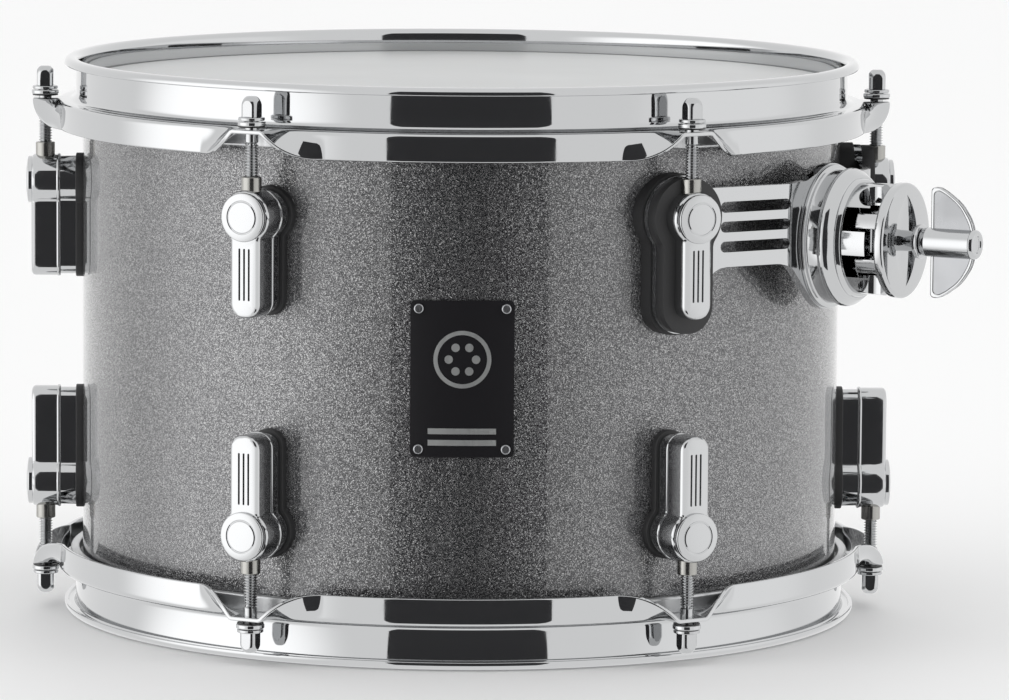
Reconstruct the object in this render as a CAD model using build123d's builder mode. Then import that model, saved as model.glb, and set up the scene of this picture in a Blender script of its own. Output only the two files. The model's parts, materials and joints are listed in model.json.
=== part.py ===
"""A 12 x 8 inch rack tom: wrapped ply shell, two heads, triple-flanged hoops, twelve tension
rods and lugs, a badge and a rubber-cushioned mounting bracket with a rod clamp.

Origin: on the drum's axis, in the plane of the lower hoop's rim.  +Z is up towards the batter
head, and -Y is the front, where the badge is.  Sizes are in millimetres.
"""
from build123d import *
from math import cos, radians, sin
import os

os.makedirs("parts", exist_ok=True)

# ---------------------------------------------------------------- driving dimensions
# Shell
shell_diameter = 304.0          # over the finished wrap
shell_depth = 203.0             # bearing edge to bearing edge
wrap_thickness = 0.5
ply_thickness = 6.0
edge_round = 1.2                # the bearing edge's nose
edge_bevel = 4.0                # the inside cut that thins the ply to that nose
wrap_setback = 9.0              # the wrap stops this far below each bearing edge

# Heads
film_thickness = 0.25
film_gap = 0.15                 # the film's collar clears the shell by this much
flesh_gap = 1.2                 # flesh hoop clears the shell by this much
flesh_width = 3.6
flesh_height = 6.5
flesh_round = 0.8

# Triple-flanged hoops; heights are measured from the bearing edge, outwards from the drum
hoop_thickness = 2.0
wall_offset = 3.5               # outer face of the hoop's wall, out from the shell
lip_height = 9.6                # the rim stands this far beyond the bearing edge
lip_flare = 3.0                 # and flares out this far beyond the wall
lip_drop = 4.2                  # height of the flared part
rim_flat = 0.25                 # ground off the rim, so that the drum stands on a flat land
ledge_drop = 6.6                # ledge's outer face lies this far inside the bearing edge
skirt_offset = 11.0             # outer face of the skirt, out from the shell
skirt_depth = 10.7              # skirt below the ledge's outer face
ear_tip = 6.3                   # tip of each ear, beyond the rod axis
ear_width = 15.0
ear_root = 30.0                 # the ear's width where it leaves the ledge
ear_relief = 26.0               # the skirt is cut away over this width at an ear
ear_corner = 2.5
bend_radius = 2.6

# Tension rods, washers and swivel nuts
lug_count = 6
rod_offset = 15.0               # rod axis, out from the shell
rod_diameter = 5.3
rod_length = 45.0               # under the flange
rod_square = 6.35
rod_square_height = 8.0
rod_flange_diameter = 10.6
rod_flange_height = 1.2
washer_diameter = 10.9
washer_height = 1.75
bushing_diameter = 10.2
bushing_height = 0.5
rod_clearance = 0.35            # round the rod in an ear or a washer
head_clearance = 0.3            # under a rod's flange, so that it turns freely
thread_clearance = 0.05         # round the rod in its nut
nut_diameter = 7.7
nut_length = 26.0
nut_reach = 25.4                # nut's outer end, inside the bearing edge

# Lugs; depths are measured out from the shell
boss_radius = 10.2
boss_setback = 40.5             # boss centre, inside the bearing edge
arm_half_width = 6.25
arm_length = 38.6               # boss centre to the arm's end
arm_end_round = 5.0
gasket_depth = 2.7
gasket_border = 0.5
neck_depth = 8.4
neck_inset = 1.3
lug_front = 5.4                 # lug's front, beyond the rod axis
lug_round = 2.2
disc_inset = 0.85               # round disc on the boss, inside its edge
disc_rise = 2.2
groove_pitch = 2.07
groove_width = 0.8
groove_length = 20.0
groove_start = 11.9             # boss centre to the grooves' outer ends
groove_depth = 0.8
nut_clearance = 0.1             # round the nut in its lug
lug_screw_diameter = 4.0
mount_screw_engagement = 5.0    # how far the screws of a bracket's lug go into it
mount_screw_start = 17.0        # and where the first of them is, below the boss centre
mount_screw_spacing = 14.0
lug_screw_head_diameter = 7.5
lug_screw_head_height = 2.6
lug_screw_washer_diameter = 10.0
lug_screw_washer_height = 1.0
lug_screw_spacing = 30.0
hole_clearance = 0.2            # round a screw in the shell

# Badge
badge_azimuth = -1.25           # a little to the left of the front
badge_width = 39.5
badge_height = 60.0
badge_thickness = 1.0
badge_corner = 2.0
badge_relief = 0.3              # the bright inlay's thickness
badge_ring_radius = 11.0
badge_ring_width = 1.6
badge_ring_rise = 7.5           # ring centre above the badge centre
badge_dot_circle = 5.2          # the six dots inside the ring stand on this radius
badge_dot_radius = 1.6
badge_bar_width = 26.0
badge_bar_height = 2.2
badge_bar_rise = 10.0           # upper bar above the badge's lower edge
badge_screw_diameter = 3.8
badge_screw_inset = 3.1
badge_screw_height = 1.2
badge_screw_round = 0.6
badge_pin_diameter = 1.8
badge_pin_length = 4.0

# Mount: a bracket across two neighbouring top lugs, held in rubber
mount_angles = (30.0, 90.0)     # azimuths of its two lugs, from the front towards +X
mount_azimuth = 60.0
rear_cushion_depth = 5.5
bracket_thickness = 3.0
front_cushion_depth = 5.0
cushion_border = 5.9            # round the lug's boss
cushion_foot = 7.0              # below the lug's arm
bracket_border = 5.4
bracket_foot = 6.3
bracket_bend = 6.0
bracket_arm_height = 30.7
bracket_arm_drop = 5.1          # arm's centre line below the lug's boss centre
bracket_slot_length = 31.5
bracket_slot_height = 4.2
bracket_slot_pitch = 7.65
bracket_slot_start = 18.0       # lug centre to the slots' near ends
boss_standoff = 12.0            # bracket's boss face, out from the shell
bracket_boss_diameter = 57.0
clamp_drop = 13.2               # clamp's axis below the lug's boss centre

# Rod clamp; depths along its axis are measured from the bracket's boss face
clamp_flange_diameter = 56.0
clamp_flange_height = 1.8
clamp_ring_diameter = 53.0
clamp_ring_height = 7.5
clamp_mouth_diameter = 45.0
clamp_cup_height = 14.0
clamp_cup_bore = 41.0
clamp_floor = 4.0
finger_diameter = 43.5
finger_reach = 24.5             # ends of the fixed fingers
middle_finger_height = 9.4
outer_finger_height = 8.8
outer_finger_centre = 18.05
jaw_finger_height = 5.6
jaw_finger_centre = 8.7
jaw_finger_start = 20.0
jaw_back = 28.5
jaw_face = 32.5
jaw_diameter = 45.0
jaw_edge_round = 1.2
jaw_recess_height = 36.0
jaw_recess_width = 16.0
jaw_recess_depth = 1.6
jaw_boss_diameter = 12.4
jaw_boss_face = 37.5
held_rod_diameter = 10.5
held_rod_depth = 23.0
held_rod_side = 11.0            # the held rod passes this far to the front of the bolt
bolt_diameter = 6.0
bolt_clearance = 0.1
bolt_head_diameter = 10.0
bolt_head_height = 2.5
bolt_length = 58.0              # from the bracket's boss face to the bolt's end
base_screw_diameter = 4.0
base_screw_circle = 23.3        # their distance from the bolt
base_screw_engagement = 6.0
base_screw_head_diameter = 7.0
base_screw_head_height = 2.2

# Wing nut
wing_washer_diameter = 13.3
wing_washer_height = 2.0
wing_barrel_diameter = 11.5
wing_barrel_length = 20.9
wing_cap_diameter = 11.8
wing_cap_height = 2.2
wing_span = 43.0
wing_thickness = 2.6
wing_start = 3.6                # the wings begin this far along the barrel
wing_tip_length = 3.6
wing_shoulder = (15.6, 16.3)    # a point on the wing's outer curve: across, along the barrel
wing_gap = 0.3                  # under the wing nut

# ---------------------------------------------------------------- derived places
shell_radius = shell_diameter / 2
half_depth = shell_depth / 2
drum_height = shell_depth + 2 * lip_height
mid_z = drum_height / 2
rod_radius = shell_radius + rod_offset
ear_reach = rod_offset + ear_tip            # depths out from the shell
lug_depth = rod_offset + lug_front
disc_radius = boss_radius - disc_inset
ledge_z = half_depth - ledge_drop           # heights from the mid plane
lip_z = half_depth + lip_height
skirt_z = ledge_z - skirt_depth
boss_z = half_depth - boss_setback
flange_z = ledge_z + bushing_height + washer_height + head_clearance
nut_z = half_depth - nut_reach
wall_radius = shell_radius + wall_offset
skirt_radius = shell_radius + skirt_offset
inner_radius = shell_radius - wrap_thickness - ply_thickness

lug_azimuths = (-150.0, -90.0, -30.0, 30.0, 90.0, 150.0)
place_names = ("back_left", "left", "front_left", "front_right", "right", "back_right")
ends = {"top": 1, "bottom": -1}
mount_base_depth = rear_cushion_depth + bracket_thickness + front_cushion_depth


# ---------------------------------------------------------------- helpers
def outward(azimuth):
    """Unit vector out from the axis; azimuth 0 is the front (-Y), 90 is +X."""
    return Vector(sin(radians(azimuth)), -cos(radians(azimuth)), 0)


def axis_plane(azimuth, radius, height, side):
    """Plane across a tension rod's axis, facing out of the drum's top or bottom."""
    place = outward(azimuth) * radius + Vector(0, 0, mid_z + side * height)
    return Plane(origin=place, x_dir=outward(azimuth), z_dir=(0, 0, side))


def face_plane(azimuth, depth, height, side=1):
    """Plane that faces outwards, depth mm out from the shell; its +Y points to the hoop."""
    facing = outward(azimuth)
    across = Vector(0, 0, side).cross(facing)
    place = facing * (shell_radius + depth) + Vector(0, 0, mid_z + side * height)
    return Plane(origin=place, x_dir=across, z_dir=facing)


def save(piece, label):
    """Label a finished piece and write it."""
    piece.part.label = label
    export_step(piece.part, f"parts/{label}.step")


def lug_outline(border=0.0, foot=None):
    """Keyhole outline of a lug on the current sketch, grown by a border and, below, a foot."""
    Circle(boss_radius + border)
    arm_end = arm_length + (border if foot is None else foot)
    with Locations((0, -arm_end / 2)):
        Rectangle(2 * (arm_half_width + border), arm_end)
    fillet(vertices().group_by(Axis.Y)[0], arm_end_round + border)


def holds_bracket(side, azimuth):
    """Whether a lug is one of the two that the bracket hangs from."""
    return side > 0 and azimuth in mount_angles


def lug_screw_places(on_mount=False):
    """A lug's two screws on its face plane, measured from the boss centre."""
    if on_mount:
        return [(0, -mount_screw_start), (0, -mount_screw_start - mount_screw_spacing)]
    return [(0, 0), (0, -lug_screw_spacing)]


def lug_screw_discs(side, azimuth, depth, radius):
    """A lug's two screws as discs, on the plane at a depth out from the shell."""
    with BuildSketch(face_plane(azimuth, depth, boss_z, side)) as discs:
        with Locations(*lug_screw_places(holds_bracket(side, azimuth))):
            Circle(radius)
    return discs.sketch


def cut_to_shell():
    """Trim the current piece where it would enter the shell."""
    with BuildSketch(Plane.XY) as section:
        Circle(shell_radius)
    extrude(section.sketch, amount=drum_height, mode=Mode.SUBTRACT)


# ---------------------------------------------------------------- shell and wrap
def build_shell():
    outer = shell_radius - wrap_thickness
    with BuildPart() as shell:
        with BuildSketch(Plane.XZ):
            with BuildLine():
                Polyline(
                    (inner_radius, mid_z - half_depth + edge_bevel),
                    (outer - edge_round, mid_z - half_depth),
                    (outer, mid_z - half_depth + edge_round),
                    (outer, mid_z + half_depth - edge_round),
                    (outer - edge_round, mid_z + half_depth),
                    (inner_radius, mid_z + half_depth - edge_bevel),
                    close=True,
                )
            make_face()
        revolve(axis=Axis.Z)
        for side in ends.values():
            for azimuth in lug_azimuths:
                holes = lug_screw_discs(side, azimuth, 0, lug_screw_diameter / 2 + hole_clearance)
                extrude(holes, amount=-2 * (ply_thickness + wrap_thickness), mode=Mode.SUBTRACT)
        cut_badge_pin_holes()
    save(shell, "shell")


def build_wrap():
    height = shell_depth - 2 * wrap_setback
    with BuildPart() as wrap:
        with BuildSketch(Plane.XY.offset(mid_z - height / 2)):
            Circle(shell_radius)
            Circle(shell_radius - wrap_thickness, mode=Mode.SUBTRACT)
        extrude(amount=height)
        for side in ends.values():
            for azimuth in lug_azimuths:
                holes = lug_screw_discs(side, azimuth, 1, lug_screw_diameter / 2 + hole_clearance)
                extrude(holes, amount=-3, mode=Mode.SUBTRACT)
        cut_badge_pin_holes()
    save(wrap, "shell_wrap")


# ---------------------------------------------------------------- badge
def build_badge():
    front = face_plane(badge_azimuth, 0, 0)
    with BuildPart() as plate:
        with BuildSketch(Plane.XY.offset(mid_z - badge_height / 2)):
            Circle(shell_radius + badge_thickness)
            Circle(shell_radius, mode=Mode.SUBTRACT)
        extrude(amount=badge_height)
        with BuildSketch(front):
            RectangleRounded(badge_width, badge_height, badge_corner)
        extrude(amount=2 * badge_thickness, both=True, mode=Mode.INTERSECT)
        cut_badge_pin_holes()
    save(plate, "badge_plate")


def badge_screw_places():
    """The badge's four screw centres on its face plane."""
    x = badge_width / 2 - badge_screw_inset
    y = badge_height / 2 - badge_screw_inset
    return [(-x, -y), (-x, y), (x, -y), (x, y)]


def cut_badge_pin_holes():
    """Cut the holes for the badge's four pins from the current piece."""
    with BuildSketch(face_plane(badge_azimuth, 0, 0)) as pins:
        with Locations(*badge_screw_places()):
            Circle(badge_pin_diameter / 2)
    extrude(pins.sketch, amount=2 * badge_pin_length, both=True, mode=Mode.SUBTRACT)


def build_badge_inlay():
    front = face_plane(badge_azimuth, 0, 0)
    foot = shell_radius + badge_thickness
    bar_y = badge_bar_rise - badge_height / 2
    with BuildPart() as inlay:
        with BuildSketch(Plane.XY.offset(mid_z - badge_height / 2)):
            Circle(foot + badge_relief)
            Circle(foot, mode=Mode.SUBTRACT)
        extrude(amount=badge_height)
        with BuildSketch(front):
            with Locations((0, badge_ring_rise)):
                Circle(badge_ring_radius)
                Circle(badge_ring_radius - badge_ring_width, mode=Mode.SUBTRACT)
                with PolarLocations(badge_dot_circle, lug_count):
                    Circle(badge_dot_radius)
            with Locations((0, bar_y), (0, bar_y - 2 * badge_bar_height)):
                Rectangle(badge_bar_width, badge_bar_height)
        extrude(amount=4 * badge_thickness, both=True, mode=Mode.INTERSECT)
    save(inlay, "badge_inlay")


def build_badge_screws():
    front = face_plane(badge_azimuth, 0, 0)
    edge = badge_width / 2 - badge_screw_inset
    sag = shell_radius - (shell_radius ** 2 - edge ** 2) ** 0.5
    seat = front.offset(badge_thickness - sag + badge_relief)
    with BuildPart() as screws:
        with BuildSketch(seat):
            with Locations(*badge_screw_places()):
                Circle(badge_screw_diameter / 2)
        extrude(amount=badge_screw_height)
        outwards = Axis((0, 0, 0), outward(badge_azimuth))
        fillet(faces().filter_by(outwards).sort_by(outwards)[-4:].edges(), badge_screw_round)
        with BuildSketch(seat):
            with Locations(*badge_screw_places()):
                Circle(badge_pin_diameter / 2)
        extrude(amount=-badge_pin_length)
    save(screws, "badge_screws")


# ---------------------------------------------------------------- heads
def build_head(side, name):
    collar = shell_radius + film_gap
    low = mid_z + side * (ledge_z - hoop_thickness - flesh_height / 2)
    edge = mid_z + side * (half_depth + film_gap)
    out = film_thickness
    with BuildPart() as film:
        with BuildSketch(Plane.XZ):
            with BuildLine():
                Polyline(
                    (0, edge),
                    (collar - edge_round, edge),
                    (collar, edge - side * edge_round),
                    (collar, low),
                    (shell_radius + flesh_gap, low),
                    (shell_radius + flesh_gap, low + side * out),
                    (collar + out, low + side * out),
                    (collar + out, edge + side * (out - edge_round)),
                    (collar - edge_round + out, edge + side * out),
                    (0, edge + side * out),
                    close=True,
                )
            make_face()
        revolve(axis=Axis.Z)
    save(film, f"{name}_head_film")

    with BuildPart() as flesh:
        with BuildSketch(Plane.XZ):
            centre = shell_radius + flesh_gap + flesh_width / 2
            with Locations((centre, low)):
                RectangleRounded(flesh_width, flesh_height, flesh_round)
        revolve(axis=Axis.Z)
    save(flesh, f"{name}_flesh_hoop")


# ---------------------------------------------------------------- hoops
def hoop_section(side):
    """The hoop's rim, wall, ledge and skirt, as the section of one bent strip."""
    t = hoop_thickness
    wall = wall_radius - t / 2
    skirt = skirt_radius - t / 2
    ledge = ledge_z - t / 2
    with BuildSketch(Plane.XZ) as section:
        with BuildLine():
            FilletPolyline(
                (wall + lip_flare, mid_z + side * (lip_z - t / 2 + rim_flat)),
                (wall, mid_z + side * (lip_z - lip_drop)),
                (wall, mid_z + side * ledge),
                (skirt, mid_z + side * ledge),
                (skirt, mid_z + side * skirt_z),
                radius=bend_radius - t / 2,
            )
            offset(amount=t / 2, side=Side.BOTH)
        make_face()
        with Locations((0, mid_z)):
            Rectangle(4 * skirt_radius, drum_height, mode=Mode.INTERSECT)
    return section.sketch


def build_hoop(end, side):
    with BuildPart() as hoop:
        revolve(hoop_section(side), axis=Axis.Z)
        for azimuth in lug_azimuths:
            cut = face_plane(azimuth, wall_offset, ledge_z - hoop_thickness, side)
            with BuildSketch(cut):
                with Locations((0, -skirt_depth / 2)):
                    Rectangle(ear_relief, skirt_depth + hoop_thickness)
            extrude(amount=2 * ear_reach, mode=Mode.SUBTRACT)
        for azimuth in lug_azimuths:
            base = axis_plane(azimuth, 0, ledge_z - hoop_thickness, side)
            root = wall_radius
            tip = shell_radius + ear_reach
            with BuildSketch(base):
                with BuildLine():
                    Polyline(
                        (root, -ear_root / 2),
                        (tip, -ear_width / 2),
                        (tip, ear_width / 2),
                        (root, ear_root / 2),
                        close=True,
                    )
                make_face()
                fillet(vertices().sort_by(Axis.X)[-2:], ear_corner)
            extrude(amount=hoop_thickness)
            with BuildSketch(axis_plane(azimuth, rod_radius, ledge_z, side)):
                Circle(rod_diameter / 2 + rod_clearance)
            extrude(amount=-hoop_thickness, mode=Mode.SUBTRACT)
    save(hoop, f"{end}_hoop")


# ---------------------------------------------------------------- tension rods and washers
def build_rod(end, side, place, azimuth):
    under = axis_plane(azimuth, rod_radius, flange_z, side)
    with BuildPart() as rod:
        with BuildSketch(under):
            Circle(rod_diameter / 2)
        extrude(amount=-rod_length)
        chamfer(faces().sort_by(Axis.Z)[0 if side > 0 else -1].edges(), rod_diameter / 6)
        with BuildSketch(under):
            Circle(rod_flange_diameter / 2)
        extrude(amount=rod_flange_height)
        with BuildSketch(under.offset(rod_flange_height)):
            Rectangle(rod_square, rod_square)
        extrude(amount=rod_square_height)
        chamfer(faces().sort_by(Axis.Z)[-1 if side > 0 else 0].edges(), rod_square / 8)
    save(rod, f"{end}_rod_{place}")


def build_ring_group(label, side, height, thickness, outer, bore):
    """Six equal washers, one round each rod, stacked from a height outwards."""
    with BuildPart() as rings:
        for azimuth in lug_azimuths:
            with BuildSketch(axis_plane(azimuth, rod_radius, height, side)):
                Circle(outer / 2)
                Circle(bore, mode=Mode.SUBTRACT)
            extrude(amount=thickness)
    save(rings, label)


def build_nuts(end, side):
    with BuildPart() as nuts:
        for azimuth in lug_azimuths:
            with BuildSketch(axis_plane(azimuth, rod_radius, nut_z, side)):
                Circle(nut_diameter / 2)
                Circle(rod_diameter / 2 + thread_clearance, mode=Mode.SUBTRACT)
            extrude(amount=-nut_length)
    save(nuts, f"{end}_tension_nuts")


# ---------------------------------------------------------------- lugs
def cut_nut_bore(azimuth, side, radius):
    """Bore for the swivel nut and the rod, cut from the current piece."""
    with BuildSketch(axis_plane(azimuth, rod_radius, ledge_z, side)) as section:
        Circle(radius)
    extrude(section.sketch, amount=-(ledge_z - nut_z + nut_length), mode=Mode.SUBTRACT)


def lug_screw_reach(on_mount):
    """Depth, out from the shell, of the inner end of a lug's tapped holes."""
    if on_mount:
        return mount_base_depth + mount_screw_engagement
    return rod_offset - nut_diameter / 2 - nut_clearance - hole_clearance


def lug_block(base):
    """A lug's front block with its rounded edge, made at the origin and facing +Z."""
    with BuildPart() as block:
        with BuildSketch(Plane.XY.offset(base)):
            lug_outline()
        extrude(amount=lug_depth - base)
        fillet(faces().sort_by(Axis.Z)[-1].edges(), lug_round)
    return block.part


def build_lug(end, side, place, azimuth):
    on_mount = holds_bracket(side, azimuth)
    foot = mount_base_depth if on_mount else gasket_depth
    base = mount_base_depth if on_mount else neck_depth
    with BuildPart() as lug:
        if not on_mount:
            with BuildSketch(face_plane(azimuth, foot, boss_z, side)):
                lug_outline(-neck_inset)
            extrude(amount=base - foot)
        add(lug_block(base).moved(face_plane(azimuth, 0, boss_z, side).location))
        with BuildSketch(face_plane(azimuth, lug_depth - lug_round, boss_z, side)):
            Circle(disc_radius)
        extrude(amount=disc_rise + lug_round)
        cut_nut_bore(azimuth, side, nut_diameter / 2 + nut_clearance)
        with BuildSketch(face_plane(azimuth, lug_depth, boss_z, side)):
            grooves_y = -groove_start - groove_length / 2
            with Locations(*[(n * groove_pitch, grooves_y) for n in (-1, 0, 1)]):
                SlotOverall(groove_length, groove_width, rotation=90)
        extrude(amount=-groove_depth, mode=Mode.SUBTRACT)
        holes = lug_screw_discs(side, azimuth, foot, lug_screw_diameter / 2)
        extrude(holes, amount=lug_screw_reach(on_mount) - foot, mode=Mode.SUBTRACT)
    save(lug, f"{end}_lug_{place}")


def build_gaskets(end, side):
    with BuildPart() as gaskets:
        for azimuth in lug_azimuths:
            if not holds_bracket(side, azimuth):
                with BuildSketch(face_plane(azimuth, -gasket_depth, boss_z, side)):
                    lug_outline(gasket_border)
                extrude(amount=2 * gasket_depth)
                holes = lug_screw_discs(side, azimuth, 0, lug_screw_diameter / 2 + hole_clearance)
                extrude(holes, amount=2 * gasket_depth, both=True, mode=Mode.SUBTRACT)
        cut_to_shell()
    save(gaskets, f"{end}_lug_gaskets")


def build_lug_screws(label, bracket_lugs):
    """Screws from inside the shell into the lugs, with their heads on washers."""
    seat = -(shell_radius - inner_radius) - lug_screw_washer_height
    with BuildPart() as screws:
        for side in ends.values():
            for azimuth in lug_azimuths:
                on_mount = holds_bracket(side, azimuth)
                if on_mount == bracket_lugs:
                    holes = lug_screw_discs(side, azimuth, seat, lug_screw_diameter / 2)
                    extrude(holes, amount=lug_screw_reach(on_mount) - seat)
                    holes = lug_screw_discs(side, azimuth, seat, lug_screw_head_diameter / 2)
                    extrude(holes, amount=-lug_screw_head_height)
    save(screws, label)


def build_lug_screw_washers():
    """Washers inside the shell, each ground to the shell's curve on its outer side."""
    bore = lug_screw_diameter / 2
    with BuildPart() as washers:
        for side in ends.values():
            for azimuth in lug_azimuths:
                seat = -(shell_radius - inner_radius) - lug_screw_washer_height
                holes = lug_screw_discs(side, azimuth, seat, lug_screw_washer_diameter / 2)
                extrude(holes, amount=lug_screw_washer_height)
                holes = lug_screw_discs(side, azimuth, seat, bore)
                extrude(holes, amount=lug_screw_washer_height, mode=Mode.SUBTRACT)
        with BuildSketch(Plane.XY):
            Circle(inner_radius)
        extrude(amount=drum_height, mode=Mode.INTERSECT)
    save(washers, "lug_screw_washers")


# ---------------------------------------------------------------- mount
def build_cushions(place, azimuth):
    hole = lug_screw_diameter / 2
    with BuildPart() as rear:
        with BuildSketch(face_plane(azimuth, -gasket_depth, boss_z)):
            lug_outline(cushion_border, cushion_foot)
        extrude(amount=gasket_depth + rear_cushion_depth)
        holes = lug_screw_discs(1, azimuth, 0, hole)
        extrude(holes, amount=2 * mount_base_depth, both=True, mode=Mode.SUBTRACT)
        cut_to_shell()
    save(rear, f"mount_rear_cushion_{place}")

    with BuildPart() as front:
        with BuildSketch(face_plane(azimuth, rear_cushion_depth + bracket_thickness, boss_z)):
            lug_outline(cushion_border, cushion_foot)
        extrude(amount=front_cushion_depth)
        holes = lug_screw_discs(1, azimuth, 0, hole)
        extrude(holes, amount=2 * mount_base_depth, both=True, mode=Mode.SUBTRACT)
        cut_nut_bore(azimuth, 1, nut_diameter / 2 + nut_clearance)
    save(front, f"mount_front_cushion_{place}")


def bracket_path():
    """The bracket's mid-thickness line seen from above: two arms and the boss between them."""
    arm_radius = shell_radius + rear_cushion_depth + bracket_thickness / 2
    boss_radius_out = shell_radius + boss_standoff - bracket_thickness / 2
    half_angle = radians(mount_azimuth - mount_angles[0])
    reach = (boss_radius_out - arm_radius * cos(half_angle)) / sin(half_angle)
    overrun = boss_radius + bracket_border + bracket_thickness
    first, last = mount_angles
    along_first = Vector(cos(radians(first)), sin(radians(first)), 0)
    along_last = Vector(cos(radians(last)), sin(radians(last)), 0)
    return [
        outward(first) * arm_radius - along_first * overrun,
        outward(first) * arm_radius + along_first * reach,
        outward(last) * arm_radius - along_last * reach,
        outward(last) * arm_radius + along_last * overrun,
    ]


def build_bracket():
    arm_z = boss_z - bracket_arm_drop
    clamp_z = boss_z - clamp_drop
    arm_run = bracket_slot_start + bracket_slot_length + bracket_arm_height
    slots_u = bracket_slot_start + bracket_slot_length / 2
    with BuildPart() as bracket:
        for azimuth in mount_angles:
            way = 1 if azimuth < mount_azimuth else -1
            with BuildSketch(face_plane(azimuth, -2 * boss_standoff, boss_z)):
                lug_outline(bracket_border, bracket_foot)
                with Locations((way * arm_run / 2, -bracket_arm_drop)):
                    Rectangle(arm_run, bracket_arm_height)
            extrude(amount=4 * boss_standoff)
        with BuildSketch(face_plane(mount_azimuth, 0, clamp_z)):
            Circle(bracket_boss_diameter / 2)
        extrude(amount=2 * boss_standoff)
        with BuildSketch(Plane.XY):
            with BuildLine():
                FilletPolyline(*bracket_path(), radius=bracket_bend)
                offset(amount=bracket_thickness / 2, side=Side.BOTH)
            make_face()
        extrude(amount=drum_height, mode=Mode.INTERSECT)
        for azimuth in mount_angles:
            way = 1 if azimuth < mount_azimuth else -1
            with BuildSketch(face_plane(azimuth, 0, arm_z)):
                with Locations(*[(way * slots_u, n * bracket_slot_pitch) for n in (-1, 0, 1)]):
                    SlotOverall(bracket_slot_length, bracket_slot_height)
            extrude(amount=2 * boss_standoff, mode=Mode.SUBTRACT)
            holes = lug_screw_discs(1, azimuth, 0, lug_screw_diameter / 2 + hole_clearance)
            extrude(holes, amount=2 * boss_standoff, mode=Mode.SUBTRACT)
        with BuildSketch(clamp_plane(0)):
            Circle(bolt_diameter / 2 + hole_clearance)
            with Locations(*base_screw_places()):
                Circle(base_screw_diameter / 2 + hole_clearance)
        extrude(amount=-2 * bracket_thickness, mode=Mode.SUBTRACT)
    save(bracket, "mount_bracket")


# ---------------------------------------------------------------- rod clamp
def clamp_plane(depth):
    """Plane across the clamp's axis, depth mm out from the bracket's boss face."""
    return face_plane(mount_azimuth, boss_standoff + depth, boss_z - clamp_drop)


def clamp_section():
    """Plane through the clamp's axis: X is up from it, Y is out along it."""
    facing = outward(mount_azimuth)
    return Plane(clamp_plane(0).origin, x_dir=(0, 0, 1), z_dir=Vector(0, 0, 1).cross(facing))


def base_screw_places():
    return [(-base_screw_circle, 0), (base_screw_circle, 0)]


def held_rod_notch(way):
    """Cut the held rod's seat from the current piece, open outwards (1) or inwards (-1)."""
    height = clamp_flange_diameter
    seat = clamp_plane(held_rod_depth).origin
    across = Vector(0, 0, 1).cross(outward(mount_azimuth))
    centre = seat - across * held_rod_side - Vector(0, 0, height / 2)
    plan = Plane(origin=centre, x_dir=outward(mount_azimuth), z_dir=(0, 0, 1))
    with BuildSketch(plan) as seat_section:
        Circle(held_rod_diameter / 2)
        with Locations((way * held_rod_diameter / 2, 0)):
            Rectangle(held_rod_diameter, held_rod_diameter)
    extrude(seat_section.sketch, amount=height, mode=Mode.SUBTRACT)


def build_clamp_base():
    bore = bolt_diameter / 2 + bolt_clearance
    flange = clamp_flange_diameter / 2
    ring = clamp_ring_diameter / 2
    cup = clamp_cup_bore / 2
    with BuildPart() as base:
        with BuildSketch(clamp_section()):
            with BuildLine():
                Polyline(
                    (bore, 0),
                    (flange, 0),
                    (flange, clamp_flange_height),
                    (ring, clamp_flange_height),
                    (ring, clamp_ring_height),
                    (clamp_mouth_diameter / 2, clamp_cup_height),
                    (cup, clamp_cup_height),
                    (cup, clamp_floor),
                    (bore, clamp_floor),
                    close=True,
                )
            make_face()
        revolve(axis=Axis(clamp_plane(0).origin, outward(mount_azimuth)))
        with BuildSketch(clamp_plane(clamp_floor)):
            Rectangle(finger_diameter, middle_finger_height)
            with Locations((0, outer_finger_centre), (0, -outer_finger_centre)):
                Rectangle(finger_diameter, outer_finger_height)
            Circle(finger_diameter / 2, mode=Mode.INTERSECT)
        extrude(amount=finger_reach - clamp_floor)
        held_rod_notch(1)
        with BuildSketch(clamp_plane(0)):
            Circle(bore)
            with Locations(*base_screw_places()):
                Circle(base_screw_diameter / 2)
        extrude(amount=base_screw_engagement, mode=Mode.SUBTRACT)
        with BuildSketch(clamp_plane(0)):
            Circle(bore)
        extrude(amount=finger_reach, mode=Mode.SUBTRACT)
    save(base, "clamp_base")


def build_clamp_base_screws():
    with BuildPart() as screws:
        with BuildSketch(clamp_plane(-bracket_thickness)):
            with Locations(*base_screw_places()):
                Circle(base_screw_diameter / 2)
        extrude(amount=bracket_thickness + base_screw_engagement)
        with BuildSketch(clamp_plane(-bracket_thickness)):
            with Locations(*base_screw_places()):
                Circle(base_screw_head_diameter / 2)
        extrude(amount=-base_screw_head_height)
    save(screws, "clamp_base_screws")


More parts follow.
